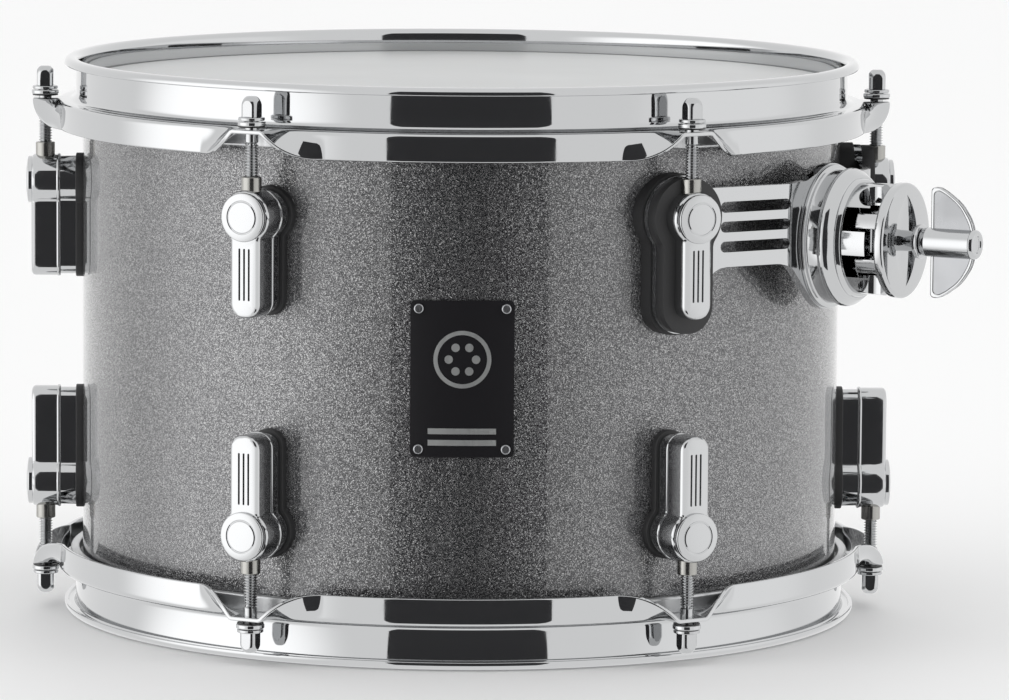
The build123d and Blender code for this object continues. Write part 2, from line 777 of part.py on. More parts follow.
def build_clamp_jaw():
    half_height = jaw_recess_height / 2
    half_width = jaw_recess_width / 2
    lens = (half_height ** 2 + half_width ** 2) / (2 * half_width)
    with BuildPart() as jaw:
        with BuildSketch(clamp_plane(jaw_back)):
            Circle(jaw_diameter / 2)
        extrude(amount=jaw_face - jaw_back)
        front = Axis((0, 0, 0), outward(mount_azimuth))
        fillet(faces().filter_by(front).edges(), jaw_edge_round)
        with BuildSketch(clamp_plane(jaw_face)):
            with Locations((lens - half_width, 0)):
                Circle(lens)
            with Locations((half_width - lens, 0)):
                Circle(lens, mode=Mode.INTERSECT)
        extrude(amount=-jaw_recess_depth, mode=Mode.SUBTRACT)
        with BuildSketch(clamp_plane(jaw_back + jaw_edge_round)):
            Circle(jaw_boss_diameter / 2)
        extrude(amount=jaw_boss_face - jaw_back - jaw_edge_round)
        with BuildSketch(clamp_plane(jaw_finger_start)):
            with Locations((0, jaw_finger_centre), (0, -jaw_finger_centre)):
                Rectangle(finger_diameter, jaw_finger_height)
            Circle(finger_diameter / 2, mode=Mode.INTERSECT)
        extrude(amount=jaw_back + jaw_edge_round - jaw_finger_start)
        held_rod_notch(-1)
        with BuildSketch(clamp_plane(0)):
            Circle(bolt_diameter / 2 + bolt_clearance)
        extrude(amount=jaw_boss_face, mode=Mode.SUBTRACT)
    save(jaw, "clamp_jaw")


def build_clamp_bolt():
    with BuildPart() as bolt:
        with BuildSketch(clamp_plane(-bracket_thickness)):
            Circle(bolt_head_diameter / 2)
        extrude(amount=-bolt_head_height)
        with BuildSketch(clamp_plane(-bracket_thickness)):
            Circle(bolt_diameter / 2)
        extrude(amount=bracket_thickness + bolt_length)
    save(bolt, "clamp_bolt")


def build_wing_washer():
    with BuildPart() as washer:
        with BuildSketch(clamp_plane(jaw_boss_face)):
            Circle(wing_washer_diameter / 2)
            Circle(bolt_diameter / 2 + bolt_clearance, mode=Mode.SUBTRACT)
        extrude(amount=wing_washer_height)
    save(washer, "wing_washer")


def build_wing_nut():
    start = jaw_boss_face + wing_washer_height + wing_gap
    finish = start + wing_barrel_length
    barrel = wing_barrel_diameter / 2
    half_span = wing_span / 2
    with BuildPart() as wing:
        with BuildSketch(clamp_plane(start)):
            Circle(barrel)
        extrude(amount=wing_barrel_length)
        with BuildSketch(clamp_plane(finish)):
            Circle(wing_cap_diameter / 2)
        extrude(amount=wing_cap_height)
        with BuildSketch(clamp_section()):
            with BuildLine():
                Polyline(
                    (0, finish),
                    (0, start + wing_start),
                    (half_span, start + wing_start),
                    (half_span, start + wing_start + wing_tip_length),
                )
                ThreePointArc(
                    (half_span, start + wing_start + wing_tip_length),
                    (wing_shoulder[0], start + wing_shoulder[1]),
                    (barrel / 2, finish + wing_cap_height / 2),
                )
                Line((barrel / 2, finish + wing_cap_height / 2), (0, finish))
            make_face()
            mirror(about=Plane.YZ)
        extrude(amount=wing_thickness / 2, both=True)
        with BuildSketch(clamp_plane(start)):
            Circle(bolt_diameter / 2 + thread_clearance)
        extrude(amount=wing_barrel_length, mode=Mode.SUBTRACT)
    save(wing, "wing_nut")


# ---------------------------------------------------------------- build everything
build_shell()
build_wrap()
build_badge()
build_badge_inlay()
build_badge_screws()
for end, side in ends.items():
    build_head(side, "batter" if side > 0 else "resonant")
    build_hoop(end, side)
    rod_bore = rod_diameter / 2 + rod_clearance
    build_ring_group(
        f"{end}_rod_bushings", side, ledge_z, bushing_height, bushing_diameter, rod_bore)
    build_ring_group(
        f"{end}_rod_washers", side, ledge_z + bushing_height, washer_height, washer_diameter,
        rod_bore)
    build_nuts(end, side)
    build_gaskets(end, side)
    for place, azimuth in zip(place_names, lug_azimuths):
        build_rod(end, side, place, azimuth)
        build_lug(end, side, place, azimuth)
build_lug_screws("lug_screws", False)
build_lug_screws("mount_lug_screws", True)
build_lug_screw_washers()
for azimuth in mount_angles:
    build_cushions(place_names[lug_azimuths.index(azimuth)], azimuth)
build_bracket()
build_clamp_base()
build_clamp_base_screws()
build_clamp_jaw()
build_clamp_bolt()
build_wing_washer()
build_wing_nut()
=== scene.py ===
# %% [markdown]
# # A 12 x 8 inch rack tom
# The drum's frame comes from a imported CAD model: every hoop, rod, lug and clamp part is already
# in its place, in metres, with the drum standing on its lower rim. This lesson replaces the plain
# CAD pieces with finished ones and gives each a material. Everything is measured from the frame,
# so nothing has to be fitted afterwards.

# %% Load the frame
import json
from math import atan2, cos, degrees, pi, radians, sin, sqrt, tan

import bmesh
import bpy
from mathutils import Matrix, Vector


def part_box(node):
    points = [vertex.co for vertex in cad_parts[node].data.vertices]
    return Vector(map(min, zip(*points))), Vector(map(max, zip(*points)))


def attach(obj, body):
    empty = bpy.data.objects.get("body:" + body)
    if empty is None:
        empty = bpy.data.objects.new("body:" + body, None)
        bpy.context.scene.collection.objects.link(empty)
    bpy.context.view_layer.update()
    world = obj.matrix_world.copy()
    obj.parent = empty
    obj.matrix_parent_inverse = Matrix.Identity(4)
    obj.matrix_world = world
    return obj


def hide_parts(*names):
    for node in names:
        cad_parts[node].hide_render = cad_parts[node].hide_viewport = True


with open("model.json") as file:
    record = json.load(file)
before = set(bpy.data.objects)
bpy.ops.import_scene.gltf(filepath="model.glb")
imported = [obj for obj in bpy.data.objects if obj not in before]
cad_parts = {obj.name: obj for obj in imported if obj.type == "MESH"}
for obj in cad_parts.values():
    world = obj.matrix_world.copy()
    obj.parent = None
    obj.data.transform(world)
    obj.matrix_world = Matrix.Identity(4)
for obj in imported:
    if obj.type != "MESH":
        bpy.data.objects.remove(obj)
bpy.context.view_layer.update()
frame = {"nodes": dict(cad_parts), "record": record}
nodes = frame["nodes"]

# %% [markdown]
# ## Measuring the drum
# A drum is nearly all circles round one axis, so a handful of radii and heights place everything.
# They are read from the frame's boxes: the wrap gives the shell's radius, a rod's box gives the
# circle that the rods stand on, and so on. Heights are kept from the middle of the shell, because
# the top and the bottom of the drum mirror each other about it.

# %% Radii and heights, in metres
MM = 0.001


def box_middle(node):
    low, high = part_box(node)
    return (low + high) / 2


shell_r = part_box("shell_wrap")[1].x
shell_low, shell_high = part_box("shell")
mid_z = (shell_low.z + shell_high.z) / 2
rod_r = box_middle("top_rod_right").x
rim_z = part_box("top_hoop")[1].z - mid_z
ear_top_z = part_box("top_rod_bushings")[0].z - mid_z
skirt_end_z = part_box("top_hoop")[0].z - mid_z
ear_tip_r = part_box("top_hoop")[1].x
rod_top_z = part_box("top_rod_left")[1].z - mid_z
nut_low, nut_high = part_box("top_tension_nuts")
lug_low, lug_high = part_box("top_lug_left")
lug_top_z = lug_high.z - mid_z
lug_end_z = lug_low.z - mid_z
boss_r = (lug_high.y - lug_low.y) / 2
boss_z = lug_top_z - boss_r
PLACES = {
    "back_left": -150, "left": -90, "front_left": -30,
    "front_right": 30, "right": 90, "back_right": 150,
}
ENDS = {"top": 1, "bottom": -1}
MOUNT_PLACES = ("front_right", "right")
print("shell radius %.4f, rod circle %.4f, rim %.4f, boss %.4f" % (shell_r, rod_r, rim_z, boss_z))


# %% [markdown]
# ## Directions round the drum
# A place on the drum is an azimuth: 0 degrees is the front, where the badge is, and 90 degrees is
# the drum's right-hand side. A matrix turns a piece that was made lying on the ground, facing up,
# into one that faces outwards at its azimuth. For the lower end of the drum the piece is turned
# half round as well, so that its hoop side points down.

# %% Placing matrices
def outward(azimuth):
    return Vector((sin(radians(azimuth)), -cos(radians(azimuth)), 0))


def facing_out(azimuth, depth=0.0, height=0.0, side=1):
    """Local Z points out of the shell and local Y towards the hoop of that side."""
    facing = outward(azimuth)
    up = Vector((0, 0, side))
    across = up.cross(facing)
    place = facing * (shell_r + depth) + Vector((0, 0, mid_z + side * height))
    turn = Matrix((across, up, facing)).transposed()
    return Matrix.Translation(place) @ turn.to_4x4()


def along_axis(azimuth, radius, height=0.0, side=1):
    """Local Z points out of the drum's top or bottom, and local X points out from the shell."""
    facing = outward(azimuth)
    up = Vector((0, 0, side))
    across = up.cross(facing)
    place = facing * radius + Vector((0, 0, mid_z + side * height))
    turn = Matrix((facing, across, up)).transposed()
    return Matrix.Translation(place) @ turn.to_4x4()


# %% [markdown]
# ## The camera
# A long lens a good way off keeps the drum's circles calm and nearly free of perspective. The
# camera looks down by seven degrees, so that the batter head shows as a thin ellipse inside its
# hoop, and the drum is turned by two degrees. It is rolled by less than half a degree.

# %% Camera
def set_camera(azimuth, elevation, roll, distance, lens, aim):
    a, e, r = radians(azimuth), radians(elevation), radians(roll)
    back = Vector((sin(a) * cos(e), -cos(a) * cos(e), sin(e)))
    right = Vector((cos(a), sin(a), 0))
    up = back.cross(right)
    place = Vector((0, 0, mid_z)) + back * distance + right * aim[0] + up * aim[1]
    rolled_right = right * cos(r) + up * sin(r)
    rolled_up = up * cos(r) - right * sin(r)
    data = bpy.data.cameras.new("camera")
    data.lens = lens
    data.sensor_width = 36
    data.clip_end = 20
    camera = bpy.data.objects.new("camera", data)
    turn = Matrix((rolled_right, rolled_up, back)).transposed()
    camera.matrix_world = Matrix.Translation(place) @ turn.to_4x4()
    bpy.context.scene.collection.objects.link(camera)
    bpy.context.scene.camera = camera
    return camera


camera = set_camera(azimuth=-1.968, elevation=6.988, roll=0.431, distance=2.550, lens=225.5,
                    aim=(17.87 * MM, -7.40 * MM))
print("camera at", [round(c, 3) for c in camera.matrix_world.translation])


# %% [markdown]
# ## Making a material
# Every finish here is one Principled shader with a few texture nodes before it. Colours are
# written as the hex values that a paint program shows, and one function turns them to the linear
# numbers that the shader works in. A second function adds a node with its settings and links, so
# that a material reads as a short list.

# %% Colour and node helpers
def to_linear(hex_colour):
    channels = [int(hex_colour[i:i + 2], 16) / 255 for i in (1, 3, 5)]
    return [c / 12.92 if c <= 0.04045 else ((c + 0.055) / 1.055) ** 2.4 for c in channels] + [1]


def add_node(tree, kind, settings=None, inputs=None):
    """Add one node; an input is a number, a colour or another node's output socket."""
    node = tree.nodes.new(kind)
    for name, value in (settings or {}).items():
        setattr(node, name, value)
    for name, value in (inputs or {}).items():
        socket = node.inputs[name]
        if isinstance(value, bpy.types.NodeSocket):
            tree.links.new(value, socket)
        else:
            socket.default_value = value
    return node


def start_material(name, **principled):
    """A new material with its Principled shader; returns the material, its tree and the shader."""
    material = bpy.data.materials.new(name)
    material.use_nodes = True
    tree = material.node_tree
    shader = tree.nodes["Principled BSDF"]
    for socket, value in principled.items():
        shader.inputs[socket.replace("_", " ")].default_value = value
    return material, tree, shader


def object_position(tree, scale=(1, 1, 1)):
    """Object coordinates in metres, stretched by a scale."""
    place = add_node(tree, "ShaderNodeTexCoord")
    return add_node(tree, "ShaderNodeMapping", inputs={
        "Vector": place.outputs["Object"], "Scale": scale}).outputs["Vector"]


def fine_noise(tree, size_mm, detail):
    return add_node(tree, "ShaderNodeTexNoise", inputs={
        "Vector": object_position(tree), "Scale": 1 / (size_mm * MM),
        "Detail": detail}).outputs["Fac"]


# %% [markdown]
# ### Chrome-plated steel
# The hoops, lugs, rods and the mount are steel and zinc castings under bright chromium plating.
# Polished plating is a mirror with a faint cool tint; what the eye reads as chrome is the studio
# in it. The roughness stays very low and varies a little in soft patches, as hand polishing
# leaves it.

# %% Chrome
def make_chrome(name, colour, roughness, patch_mm):
    material, tree, shader = start_material(
        name, Base_Color=to_linear(colour), Metallic=1.0, Roughness=roughness)
    spread = add_node(tree, "ShaderNodeMapRange", inputs={
        "Value": fine_noise(tree, patch_mm, 3.0), "From Min": 0.35, "From Max": 0.65,
        "To Min": roughness * 0.7, "To Max": roughness * 1.4})
    tree.links.new(spread.outputs["Result"], shader.inputs["Roughness"])
    return material


chrome = make_chrome("chrome_plated_steel", "#C6C7C8", 0.035, 9.0)
cast_chrome = make_chrome("chrome_plated_casting", "#C4C5C6", 0.06, 6.0)
rod_chrome = make_chrome("chrome_plated_rod", "#BEBFC0", 0.09, 3.0)

# %% [markdown]
# ### Sparkle wrap
# The shell wears a sheet of clear plastic with aluminium flakes set in it. Each flake is a tiny
# mirror at its own tilt, so neighbours differ from near black to near white, and the whole turns
# lighter or darker with the light behind it. A Voronoi pattern gives one random colour a cell;
# that colour tilts the cell's normal, and it also paints the flake's colour from near black to
# light grey: painted glints and shade that stand in for how each tilt catches the light, on top of
# the real shading from the tilted normal. A clear coat on top carries the gloss. The flakes are
# drawn a little larger than real ones, so that they show.

# %% Metal-flake film under clear gloss
def make_sparkle(name, flake_mm, tilt):
    material, tree, shader = start_material(
        name, Metallic=0.8, Roughness=0.26, Coat_Weight=1.0, Coat_Roughness=0.03, Coat_IOR=1.5)
    cells = add_node(tree, "ShaderNodeTexVoronoi", inputs={
        "Vector": object_position(tree), "Scale": 1 / (flake_mm * MM), "Randomness": 1.0})
    centred = add_node(tree, "ShaderNodeVectorMath", {"operation": "SUBTRACT"}, {
        0: cells.outputs["Color"], 1: (0.5, 0.5, 0.5)})
    tilted = add_node(tree, "ShaderNodeVectorMath", {"operation": "SCALE"}, {
        0: centred.outputs["Vector"], "Scale": tilt})
    surface = add_node(tree, "ShaderNodeNewGeometry")
    leaning = add_node(tree, "ShaderNodeVectorMath", {"operation": "ADD"}, {
        0: surface.outputs["Normal"], 1: tilted.outputs["Vector"]})
    flake_normal = add_node(tree, "ShaderNodeVectorMath", {"operation": "NORMALIZE"}, {
        0: leaning.outputs["Vector"]})
    split = add_node(tree, "ShaderNodeSeparateColor", inputs={"Color": cells.outputs["Color"]})
    # Painted light: this ramp paints each flake from near black to light grey, as painted glints
    # and shade for how its tilt catches the light.
    painted_flake_glints = add_node(tree, "ShaderNodeValToRGB", inputs={"Fac": split.outputs["Green"]})
    ramp = painted_flake_glints.color_ramp
    ramp.elements[0].position = 0.12
    ramp.elements[0].color = to_linear("#343436")
    ramp.elements[1].position = 0.95
    ramp.elements[1].color = to_linear("#B4B4B4")
    middle = ramp.elements.new(0.6)
    middle.color = to_linear("#68686A")
    tree.links.new(painted_flake_glints.outputs["Color"], shader.inputs["Base Color"])
    tree.links.new(flake_normal.outputs["Vector"], shader.inputs["Normal"])
    return material


sparkle = make_sparkle("sparkle_film_clear_gloss", 0.27, 0.4)

# %% [markdown]
# ### Drumhead film
# Both heads are polyester film. The batter side has a sprayed white coating, which is satin and
# very finely grained; a little light passes through it. The grain is drawn as coarse as needed to
# be seen, about a third of a millimetre.

# %% Coated and clear film
CLOUD_MM = 45


def make_head_film(name, colour, roughness, grain_mm, bump_mm):
    material, tree, shader = start_material(
        name, Base_Color=to_linear(colour), Roughness=roughness, IOR=1.5)
    shader.inputs["Subsurface Weight"].default_value = 0.05
    tone = add_node(tree, "ShaderNodeMapRange", inputs={
        "Value": fine_noise(tree, CLOUD_MM, 2.0), "From Min": 0.3, "From Max": 0.7,
        "To Min": roughness * 0.92, "To Max": roughness * 1.08})
    bump = add_node(tree, "ShaderNodeBump", inputs={
        "Height": fine_noise(tree, grain_mm, 4.0), "Strength": 0.25, "Distance": bump_mm * MM})
    tree.links.new(tone.outputs["Result"], shader.inputs["Roughness"])
    tree.links.new(bump.outputs["Normal"], shader.inputs["Normal"])
    return material


coated_film = make_head_film("coated_polyester_film", "#C2C2C1", 0.42, 0.35, 0.02)
clear_film = make_head_film("clear_polyester_film", "#D9DBDC", 0.12, 0.8, 0.005)

# %% [markdown]
# ### Moulded rubber and nylon
# The mount's cushions and the gaskets behind the lugs are black moulded rubber: never quite
# black, with a soft sheen and the fine spark-eroded texture of the mould.

# %% Rubber and nylon
def make_moulded(name, colour, roughness, grain_mm, bump_mm):
    material, tree, shader = start_material(
        name, Base_Color=to_linear(colour), Roughness=roughness, IOR=1.5)
    bump = add_node(tree, "ShaderNodeBump", inputs={
        "Height": fine_noise(tree, grain_mm, 5.0), "Strength": 0.6, "Distance": bump_mm * MM})
    tree.links.new(bump.outputs["Normal"], shader.inputs["Normal"])
    return material


rubber = make_moulded("moulded_rubber", "#2B2B2C", 0.55, 0.5, 0.05)
nylon = make_moulded("moulded_nylon", "#161617", 0.35, 0.6, 0.01)

# %% [markdown]
# ### Badge, plywood and small metal parts
# The badge is black anodised aluminium with a brushed inlay. The shell under the wrap is maple
# ply, seen only at its edges. Screws are zinc-plated and the nuts nickel-plated brass.

# %% The other finishes
def make_brushed(name, colour, roughness, scratch_mm, length_mm):
    material, tree, shader = start_material(
        name, Base_Color=to_linear(colour), Metallic=1.0, Roughness=roughness)
    position = object_position(tree, (1 / (scratch_mm * MM), 1 / (length_mm * MM),
                                      1 / (length_mm * MM)))
    lines = add_node(tree, "ShaderNodeTexNoise", inputs={
        "Vector": position, "Scale": 1.0, "Detail": 2.0})
    spread = add_node(tree, "ShaderNodeMapRange", inputs={
        "Value": lines.outputs["Fac"], "To Min": roughness * 0.6, "To Max": roughness * 1.5})
    tree.links.new(spread.outputs["Result"], shader.inputs["Roughness"])
    return material


def make_ply(name):
    material, tree, shader = start_material(name, Roughness=0.42, IOR=1.5)
    plies = add_node(tree, "ShaderNodeTexNoise", inputs={
        "Vector": object_position(tree, (40, 40, 900)), "Scale": 1.0, "Detail": 6.0,
        "Distortion": 0.4})
    tones = add_node(tree, "ShaderNodeValToRGB", inputs={"Fac": plies.outputs["Fac"]})
    tones.color_ramp.elements[0].position = 0.3
    tones.color_ramp.elements[0].color = to_linear("#B98B57")
    tones.color_ramp.elements[1].position = 0.75
    tones.color_ramp.elements[1].color = to_linear("#DDB685")
    tree.links.new(tones.outputs["Color"], shader.inputs["Base Color"])
    return material


anodised = make_moulded("black_anodised_aluminium", "#1B1A1D", 0.28, 0.7, 0.004)
inlay_metal = make_brushed("brushed_aluminium", "#D6D8D7", 0.42, 0.15, 6.0)
flesh_metal = make_brushed("extruded_aluminium", "#C9CACB", 0.34, 0.3, 12.0)
zinc = make_brushed("zinc_plated_steel", "#B9BABD", 0.3, 0.4, 2.0)
nickel = make_brushed("nickel_plated_brass", "#A9A8A4", 0.2, 0.4, 2.0)
maple = make_ply("maple_plywood")
SLOT_FINISH = {
    "maple_ply": maple, "sparkle_wrap": sparkle, "badge_black": anodised,
    "badge_metal": inlay_metal, "coated_film": coated_film, "clear_film": clear_film,
    "aluminium": flesh_metal, "gasket": rubber, "cushion_rubber": rubber, "nylon": nylon,
    "nickel_brass": nickel, "plated_steel": zinc, "chrome": chrome,
}

# %% [markdown]
# ## Finishing the CAD pieces that stay
# Every CAD node carries the slot of its finish in the record. The pieces whose shape is already
# right, such as the shell and the screws inside it, only need that finish.

# %% Give each CAD node its finish
slot_of = {part["node"]: part["material_slot"] for part in frame["record"]["subparts"]}
for name, node in nodes.items():
    node.data.materials.clear()
    node.data.materials.append(SLOT_FINISH[slot_of[name]])
print("finishes given:", len(slot_of))

# %% [markdown]
# ## Tools for making pieces
# Pieces are made in millimetres, lying in a plain local frame, and a placing matrix then puts
# them on the drum in metres. Most of them start as one flat outline whose corners are rounded by
# a vertex bevel, because a cast or turned part has no sharp corner. The outline is then spun
# round an axis or pushed out to a thickness.

# %% Outlines, spinning and pushing out
TO_METRES = Matrix.Scale(MM, 4)


def round_corner(bm, vert, radius, segments=5):
    """Round one corner of a flat outline to a radius in mm."""
    behind, ahead = [edge.other_vert(vert).co - vert.co for edge in vert.link_edges]
    turn = pi - behind.angle(ahead)
    bmesh.ops.bevel(
        bm, geom=[vert], offset=radius * tan(turn / 2), offset_type="OFFSET",
        segments=segments, profile=0.5, affect="VERTICES", material=-1)


def flat_outline(points, rounds):
    """One flat face through the points, with each corner rounded to its own radius."""
    bm = bmesh.new()
    corners = [bm.verts.new((x, y, 0)) for x, y in points]
    bm.faces.new(corners)
    for vert, radius in zip(corners, rounds):
        if radius:
            round_corner(bm, vert, radius)
    return bm


def spin_round(bm, steps):
    """Spin the edges of an outline that stands on XZ right round Z, and close the skin."""
    quarter_turned(bm, "X")
    on_axis = [edge for edge in bm.edges if all(abs(v.co.x) < 1e-5 for v in edge.verts)]
    bmesh.ops.delete(bm, geom=bm.faces[:], context="FACES_ONLY")
    bmesh.ops.delete(bm, geom=on_axis, context="EDGES")
    bmesh.ops.spin(
        bm, geom=bm.verts[:] + bm.edges[:], cent=(0, 0, 0), axis=(0, 0, 1), dvec=(0, 0, 0),
        angle=2 * pi, steps=steps, use_merge=True, use_duplicate=False)
    bmesh.ops.remove_doubles(bm, verts=bm.verts[:], dist=1e-4)
    bmesh.ops.recalc_face_normals(bm, faces=bm.faces[:])
    return bm


def spun(points, rounds, steps=72):
    """A turned part from its outline of (radius, height)."""
    return spin_round(flat_outline(points, rounds), steps)


def cylinder(radius, low, high, steps):
    return spun([(0, low), (radius, low), (radius, high), (0, high)], [0] * 4, steps)


def moved(bm, across, along, up):
    bmesh.ops.translate(bm, vec=(across, along, up), verts=bm.verts[:])
    return bm


def quarter_turned(bm, axis):
    bmesh.ops.rotate(
        bm, verts=bm.verts[:], cent=(0, 0, 0), matrix=Matrix.Rotation(radians(90), 3, axis))
    return bm


def block(width, depth, height):
    """A box about the origin."""
    bm = bmesh.new()
    bmesh.ops.create_cube(bm, size=1)
    bmesh.ops.scale(bm, vec=(width, depth, height), verts=bm.verts[:])
    return bm


def pushed_out(bm, height):
    """Push a flat outline up to a thickness, as a closed solid."""
    grown = bmesh.ops.extrude_face_region(bm, geom=bm.faces[:], use_keep_orig=True)
    top = [item for item in grown["geom"] if isinstance(item, bmesh.types.BMVert)]
    bmesh.ops.translate(bm, vec=(0, 0, height), verts=top)
    bmesh.ops.recalc_face_normals(bm, faces=bm.faces[:])
    return bm


def soften_rim(bm, height, width, segments=3):
    """Round the edge that runs round a flat end at the given height."""
    rim = [edge for edge in bm.edges
           if all(abs(v.co.z - height) < 1e-4 for v in edge.verts)
           and len(edge.link_faces) == 2
           and edge.calc_face_angle(0) > radians(60)]
    bmesh.ops.bevel(
        bm, geom=rim, offset=width, offset_type="OFFSET", segments=segments, profile=0.5,
        affect="EDGES", material=-1, clamp_overlap=True)
    return bm


# %% [markdown]
# Six rods, six washers or twelve lugs are the same part again and again. One function copies a
# made shape to a list of places, and another hands a finished bmesh to the frame: it hides the CAD
# nodes that the piece stands for, hangs it on the body that it moves with and gives it its finish.

# %% Copies, cuts and finished pieces
def merged(bms):
    """Join several bmeshes into one."""
    whole = bmesh.new()
    for bm in bms:
        pattern = bpy.data.meshes.new("pattern")
        bm.to_mesh(pattern)
        bm.free()
        whole.from_mesh(pattern)
        bpy.data.meshes.remove(pattern)
    return whole


def copies(bm, places):
    """Copies of one made shape, each put in its place by a matrix."""
    made = []
    for place in places:
        copy = bm.copy()
        bmesh.ops.transform(copy, matrix=place, verts=copy.verts[:])
        made.append(copy)
    bm.free()
    return merged(made)


def cut(bm, tool, operation="DIFFERENCE"):
    """Cut a shape with a tool, both bmeshes in mm, and return the result."""
    pair = []
    for name, shape in (("blank", bm), ("tool", tool)):
        mesh = bpy.data.meshes.new(name)
        shape.to_mesh(mesh)
        shape.free()
        thing = bpy.data.objects.new(name, mesh)
        bpy.context.scene.collection.objects.link(thing)
        pair.append(thing)
    boolean = pair[0].modifiers.new("cut", "BOOLEAN")
    boolean.object = pair[1]
    boolean.operation = operation
    boolean.solver = "EXACT"
    seen = pair[0].evaluated_get(bpy.context.evaluated_depsgraph_get())
    result = bmesh.new()
    result.from_mesh(seen.to_mesh())
    seen.to_mesh_clear()
    for thing in pair:
        mesh = thing.data
        bpy.data.objects.remove(thing)
        bpy.data.meshes.remove(mesh)
    bmesh.ops.remove_doubles(result, verts=result.verts[:], dist=1e-3)
    return result


def add_piece(name, bm, finish, body, stands_for=(), place=None, sharp=32, bevel=0.0):
    """Hand a finished bmesh, made in mm, to the frame as a piece in metres."""
    if place is not None:
        bmesh.ops.transform(bm, matrix=place, verts=bm.verts[:])
    bmesh.ops.recalc_face_normals(bm, faces=bm.faces[:])
    mesh = bpy.data.meshes.new(name)
    bm.to_mesh(mesh)
    bm.free()
    mesh.shade_smooth()
    mesh.set_sharp_from_angle(angle=radians(sharp))
    mesh.materials.append(finish)
    piece = bpy.data.objects.new(name, mesh)
    bpy.context.scene.collection.objects.link(piece)
    if bevel:
        edges = piece.modifiers.new("soft_edges", "BEVEL")
        edges.width = bevel * MM
        edges.segments = 3
        edges.limit_method = "ANGLE"
        edges.angle_limit = radians(sharp)
        edges.harden_normals = False
    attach(piece, body)
    if stands_for:
        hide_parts(*stands_for)
    return piece


print("tools ready")


# %% [markdown]
# ## The hoops
# A drum hoop starts as one strip of 1.6 mm steel. It is rolled into a ring and pressed: the top
# edge is turned outwards, the wall runs down to a ledge, and the ledge ends in a deep skirt. At
# each rod the press leaves the skirt unfolded, so that the steel runs straight out as a flat ear.
# The strip is made the same way here: its section is spun round the drum, and the part beyond the
# ledge is folded by an angle that falls from 90 degrees to nothing near each rod. Solidify then
# gives it its thickness.

# %% The strip's section, spun round
STRIP = 1.6
WALL_R = 154.7
BEND_R = 160.4
BEND = 1.8
SKIRT_Z = skirt_end_z / MM
LEDGE_Z = ear_top_z / MM - STRIP / 2
RIM_Z = rim_z / MM - STRIP
SKIRT_LENGTH = BEND * pi / 2 + LEDGE_Z - BEND - SKIRT_Z
EAR_LENGTH = ear_tip_r / MM - 1.4 - BEND_R
EAR_FLAT = 6.4
EAR_FOLD = 20.5
SKIRT_R = 163.0
RIM_R, RIM_ROLL = 157.7, 1.5
CLOSING_R = 190
HOOP_STEPS = 900


def hoop_strip():
    """The strip's mid-line with its skirt still flat, closed by helper edges into one rounded
    outline.
    """
    bm = bmesh.new()
    line = [(RIM_R, RIM_Z - RIM_ROLL), (RIM_R, RIM_Z), (WALL_R, RIM_Z), (WALL_R, LEDGE_Z),
            (BEND_R, LEDGE_Z), (BEND_R + SKIRT_LENGTH, LEDGE_Z), (CLOSING_R, LEDGE_Z),
            (CLOSING_R, RIM_Z)]
    corners = [bm.verts.new((r, z, 0)) for r, z in line]
    bm.faces.new(corners)
    for vert, radius in zip(corners[1:4], (0.95, 1.3, 3.0)):
        round_corner(bm, vert, radius, 6)
    return bm


def trim_to_line(bm):
    """Keep the strip's own mid-line and drop the edges that only closed its outline."""
    bmesh.ops.delete(bm, geom=bm.faces[:], context="FACES_ONLY")
    helpers = [v for v in bm.verts if v.co.x > CLOSING_R - 1 and v.co.y > 0]
    bmesh.ops.delete(bm, geom=helpers, context="VERTS")
    flat = [e for e in bm.edges if min(v.co.x for v in e.verts) > BEND_R - 0.01]
    bmesh.ops.subdivide_edges(bm, edges=flat, cuts=13)
    return bm


print("along the strip: skirt %.1f mm, ears %.1f mm" % (SKIRT_LENGTH, EAR_LENGTH))


# %% [markdown]
# The fold angle at a point of the skirt depends only on how far round it is from the nearest rod.
# A point keeps its distance along the strip: first round the bend, then straight on.

# %% Fold the skirt
def smooth_step(value):
    t = min(max(value, 0.0), 1.0)
    return t * t * (3 - 2 * t)


def fold_skirt(bm):
    """Fold everything beyond the bend line down, except at the ears."""
    for vert in bm.verts:
        radius = sqrt(vert.co.x ** 2 + vert.co.y ** 2)
        along = radius - BEND_R
        if along <= 0:
            continue
        azimuth = degrees(atan2(vert.co.x, -vert.co.y))
        near = min(abs((azimuth - place + 180) % 360 - 180) for place in PLACES.values())
        aside = radians(near) * SKIRT_R
        share = min(max((aside - EAR_FLAT) / EAR_FOLD, 0.0), 1.0)
        bend = pi / 2 * share * (1.3 - 0.3 * share)
        stretch = 1 + (EAR_LENGTH / SKIRT_LENGTH - 1) * (1 - smooth_step(share * 1.3))
        along *= stretch
        on_bend = min(along, BEND * bend)
        turned = on_bend / BEND
        straight = along - on_bend
        new_radius = BEND_R + BEND * sin(turned) + straight * cos(turned)
        drop = BEND * (1 - cos(turned)) + straight * sin(turned)
        vert.co.x *= new_radius / radius
        vert.co.y *= new_radius / radius
        vert.co.z = LEDGE_Z - drop


def make_hoop(end, side):
    bm = quarter_turned(trim_to_line(hoop_strip()), "X")
    bmesh.ops.spin(
        bm, geom=bm.verts[:] + bm.edges[:], cent=(0, 0, 0), axis=(0, 0, 1), dvec=(0, 0, 0),
        angle=2 * pi, steps=HOOP_STEPS, use_merge=True, use_duplicate=False)
    bmesh.ops.remove_doubles(bm, verts=bm.verts[:], dist=1e-4)
    fold_skirt(bm)
    bmesh.ops.recalc_face_normals(bm, faces=bm.faces[:])
    bmesh.ops.solidify(bm, geom=bm.faces[:], thickness=STRIP)
    middle = Matrix.Translation((0, 0, mid_z)) @ Matrix.Diagonal((1, 1, side, 1)) @ TO_METRES
    hoop = add_piece(
        f"{end}_hoop_steel", bm, chrome, f"{end}_hoop_set", [f"{end}_hoop"],
        place=middle, sharp=40, bevel=0.45)
    return hoop


for end, side in ENDS.items():
    hoop = make_hoop(end, side)
    print(hoop.name, "faces:", len(hoop.data.polygons))

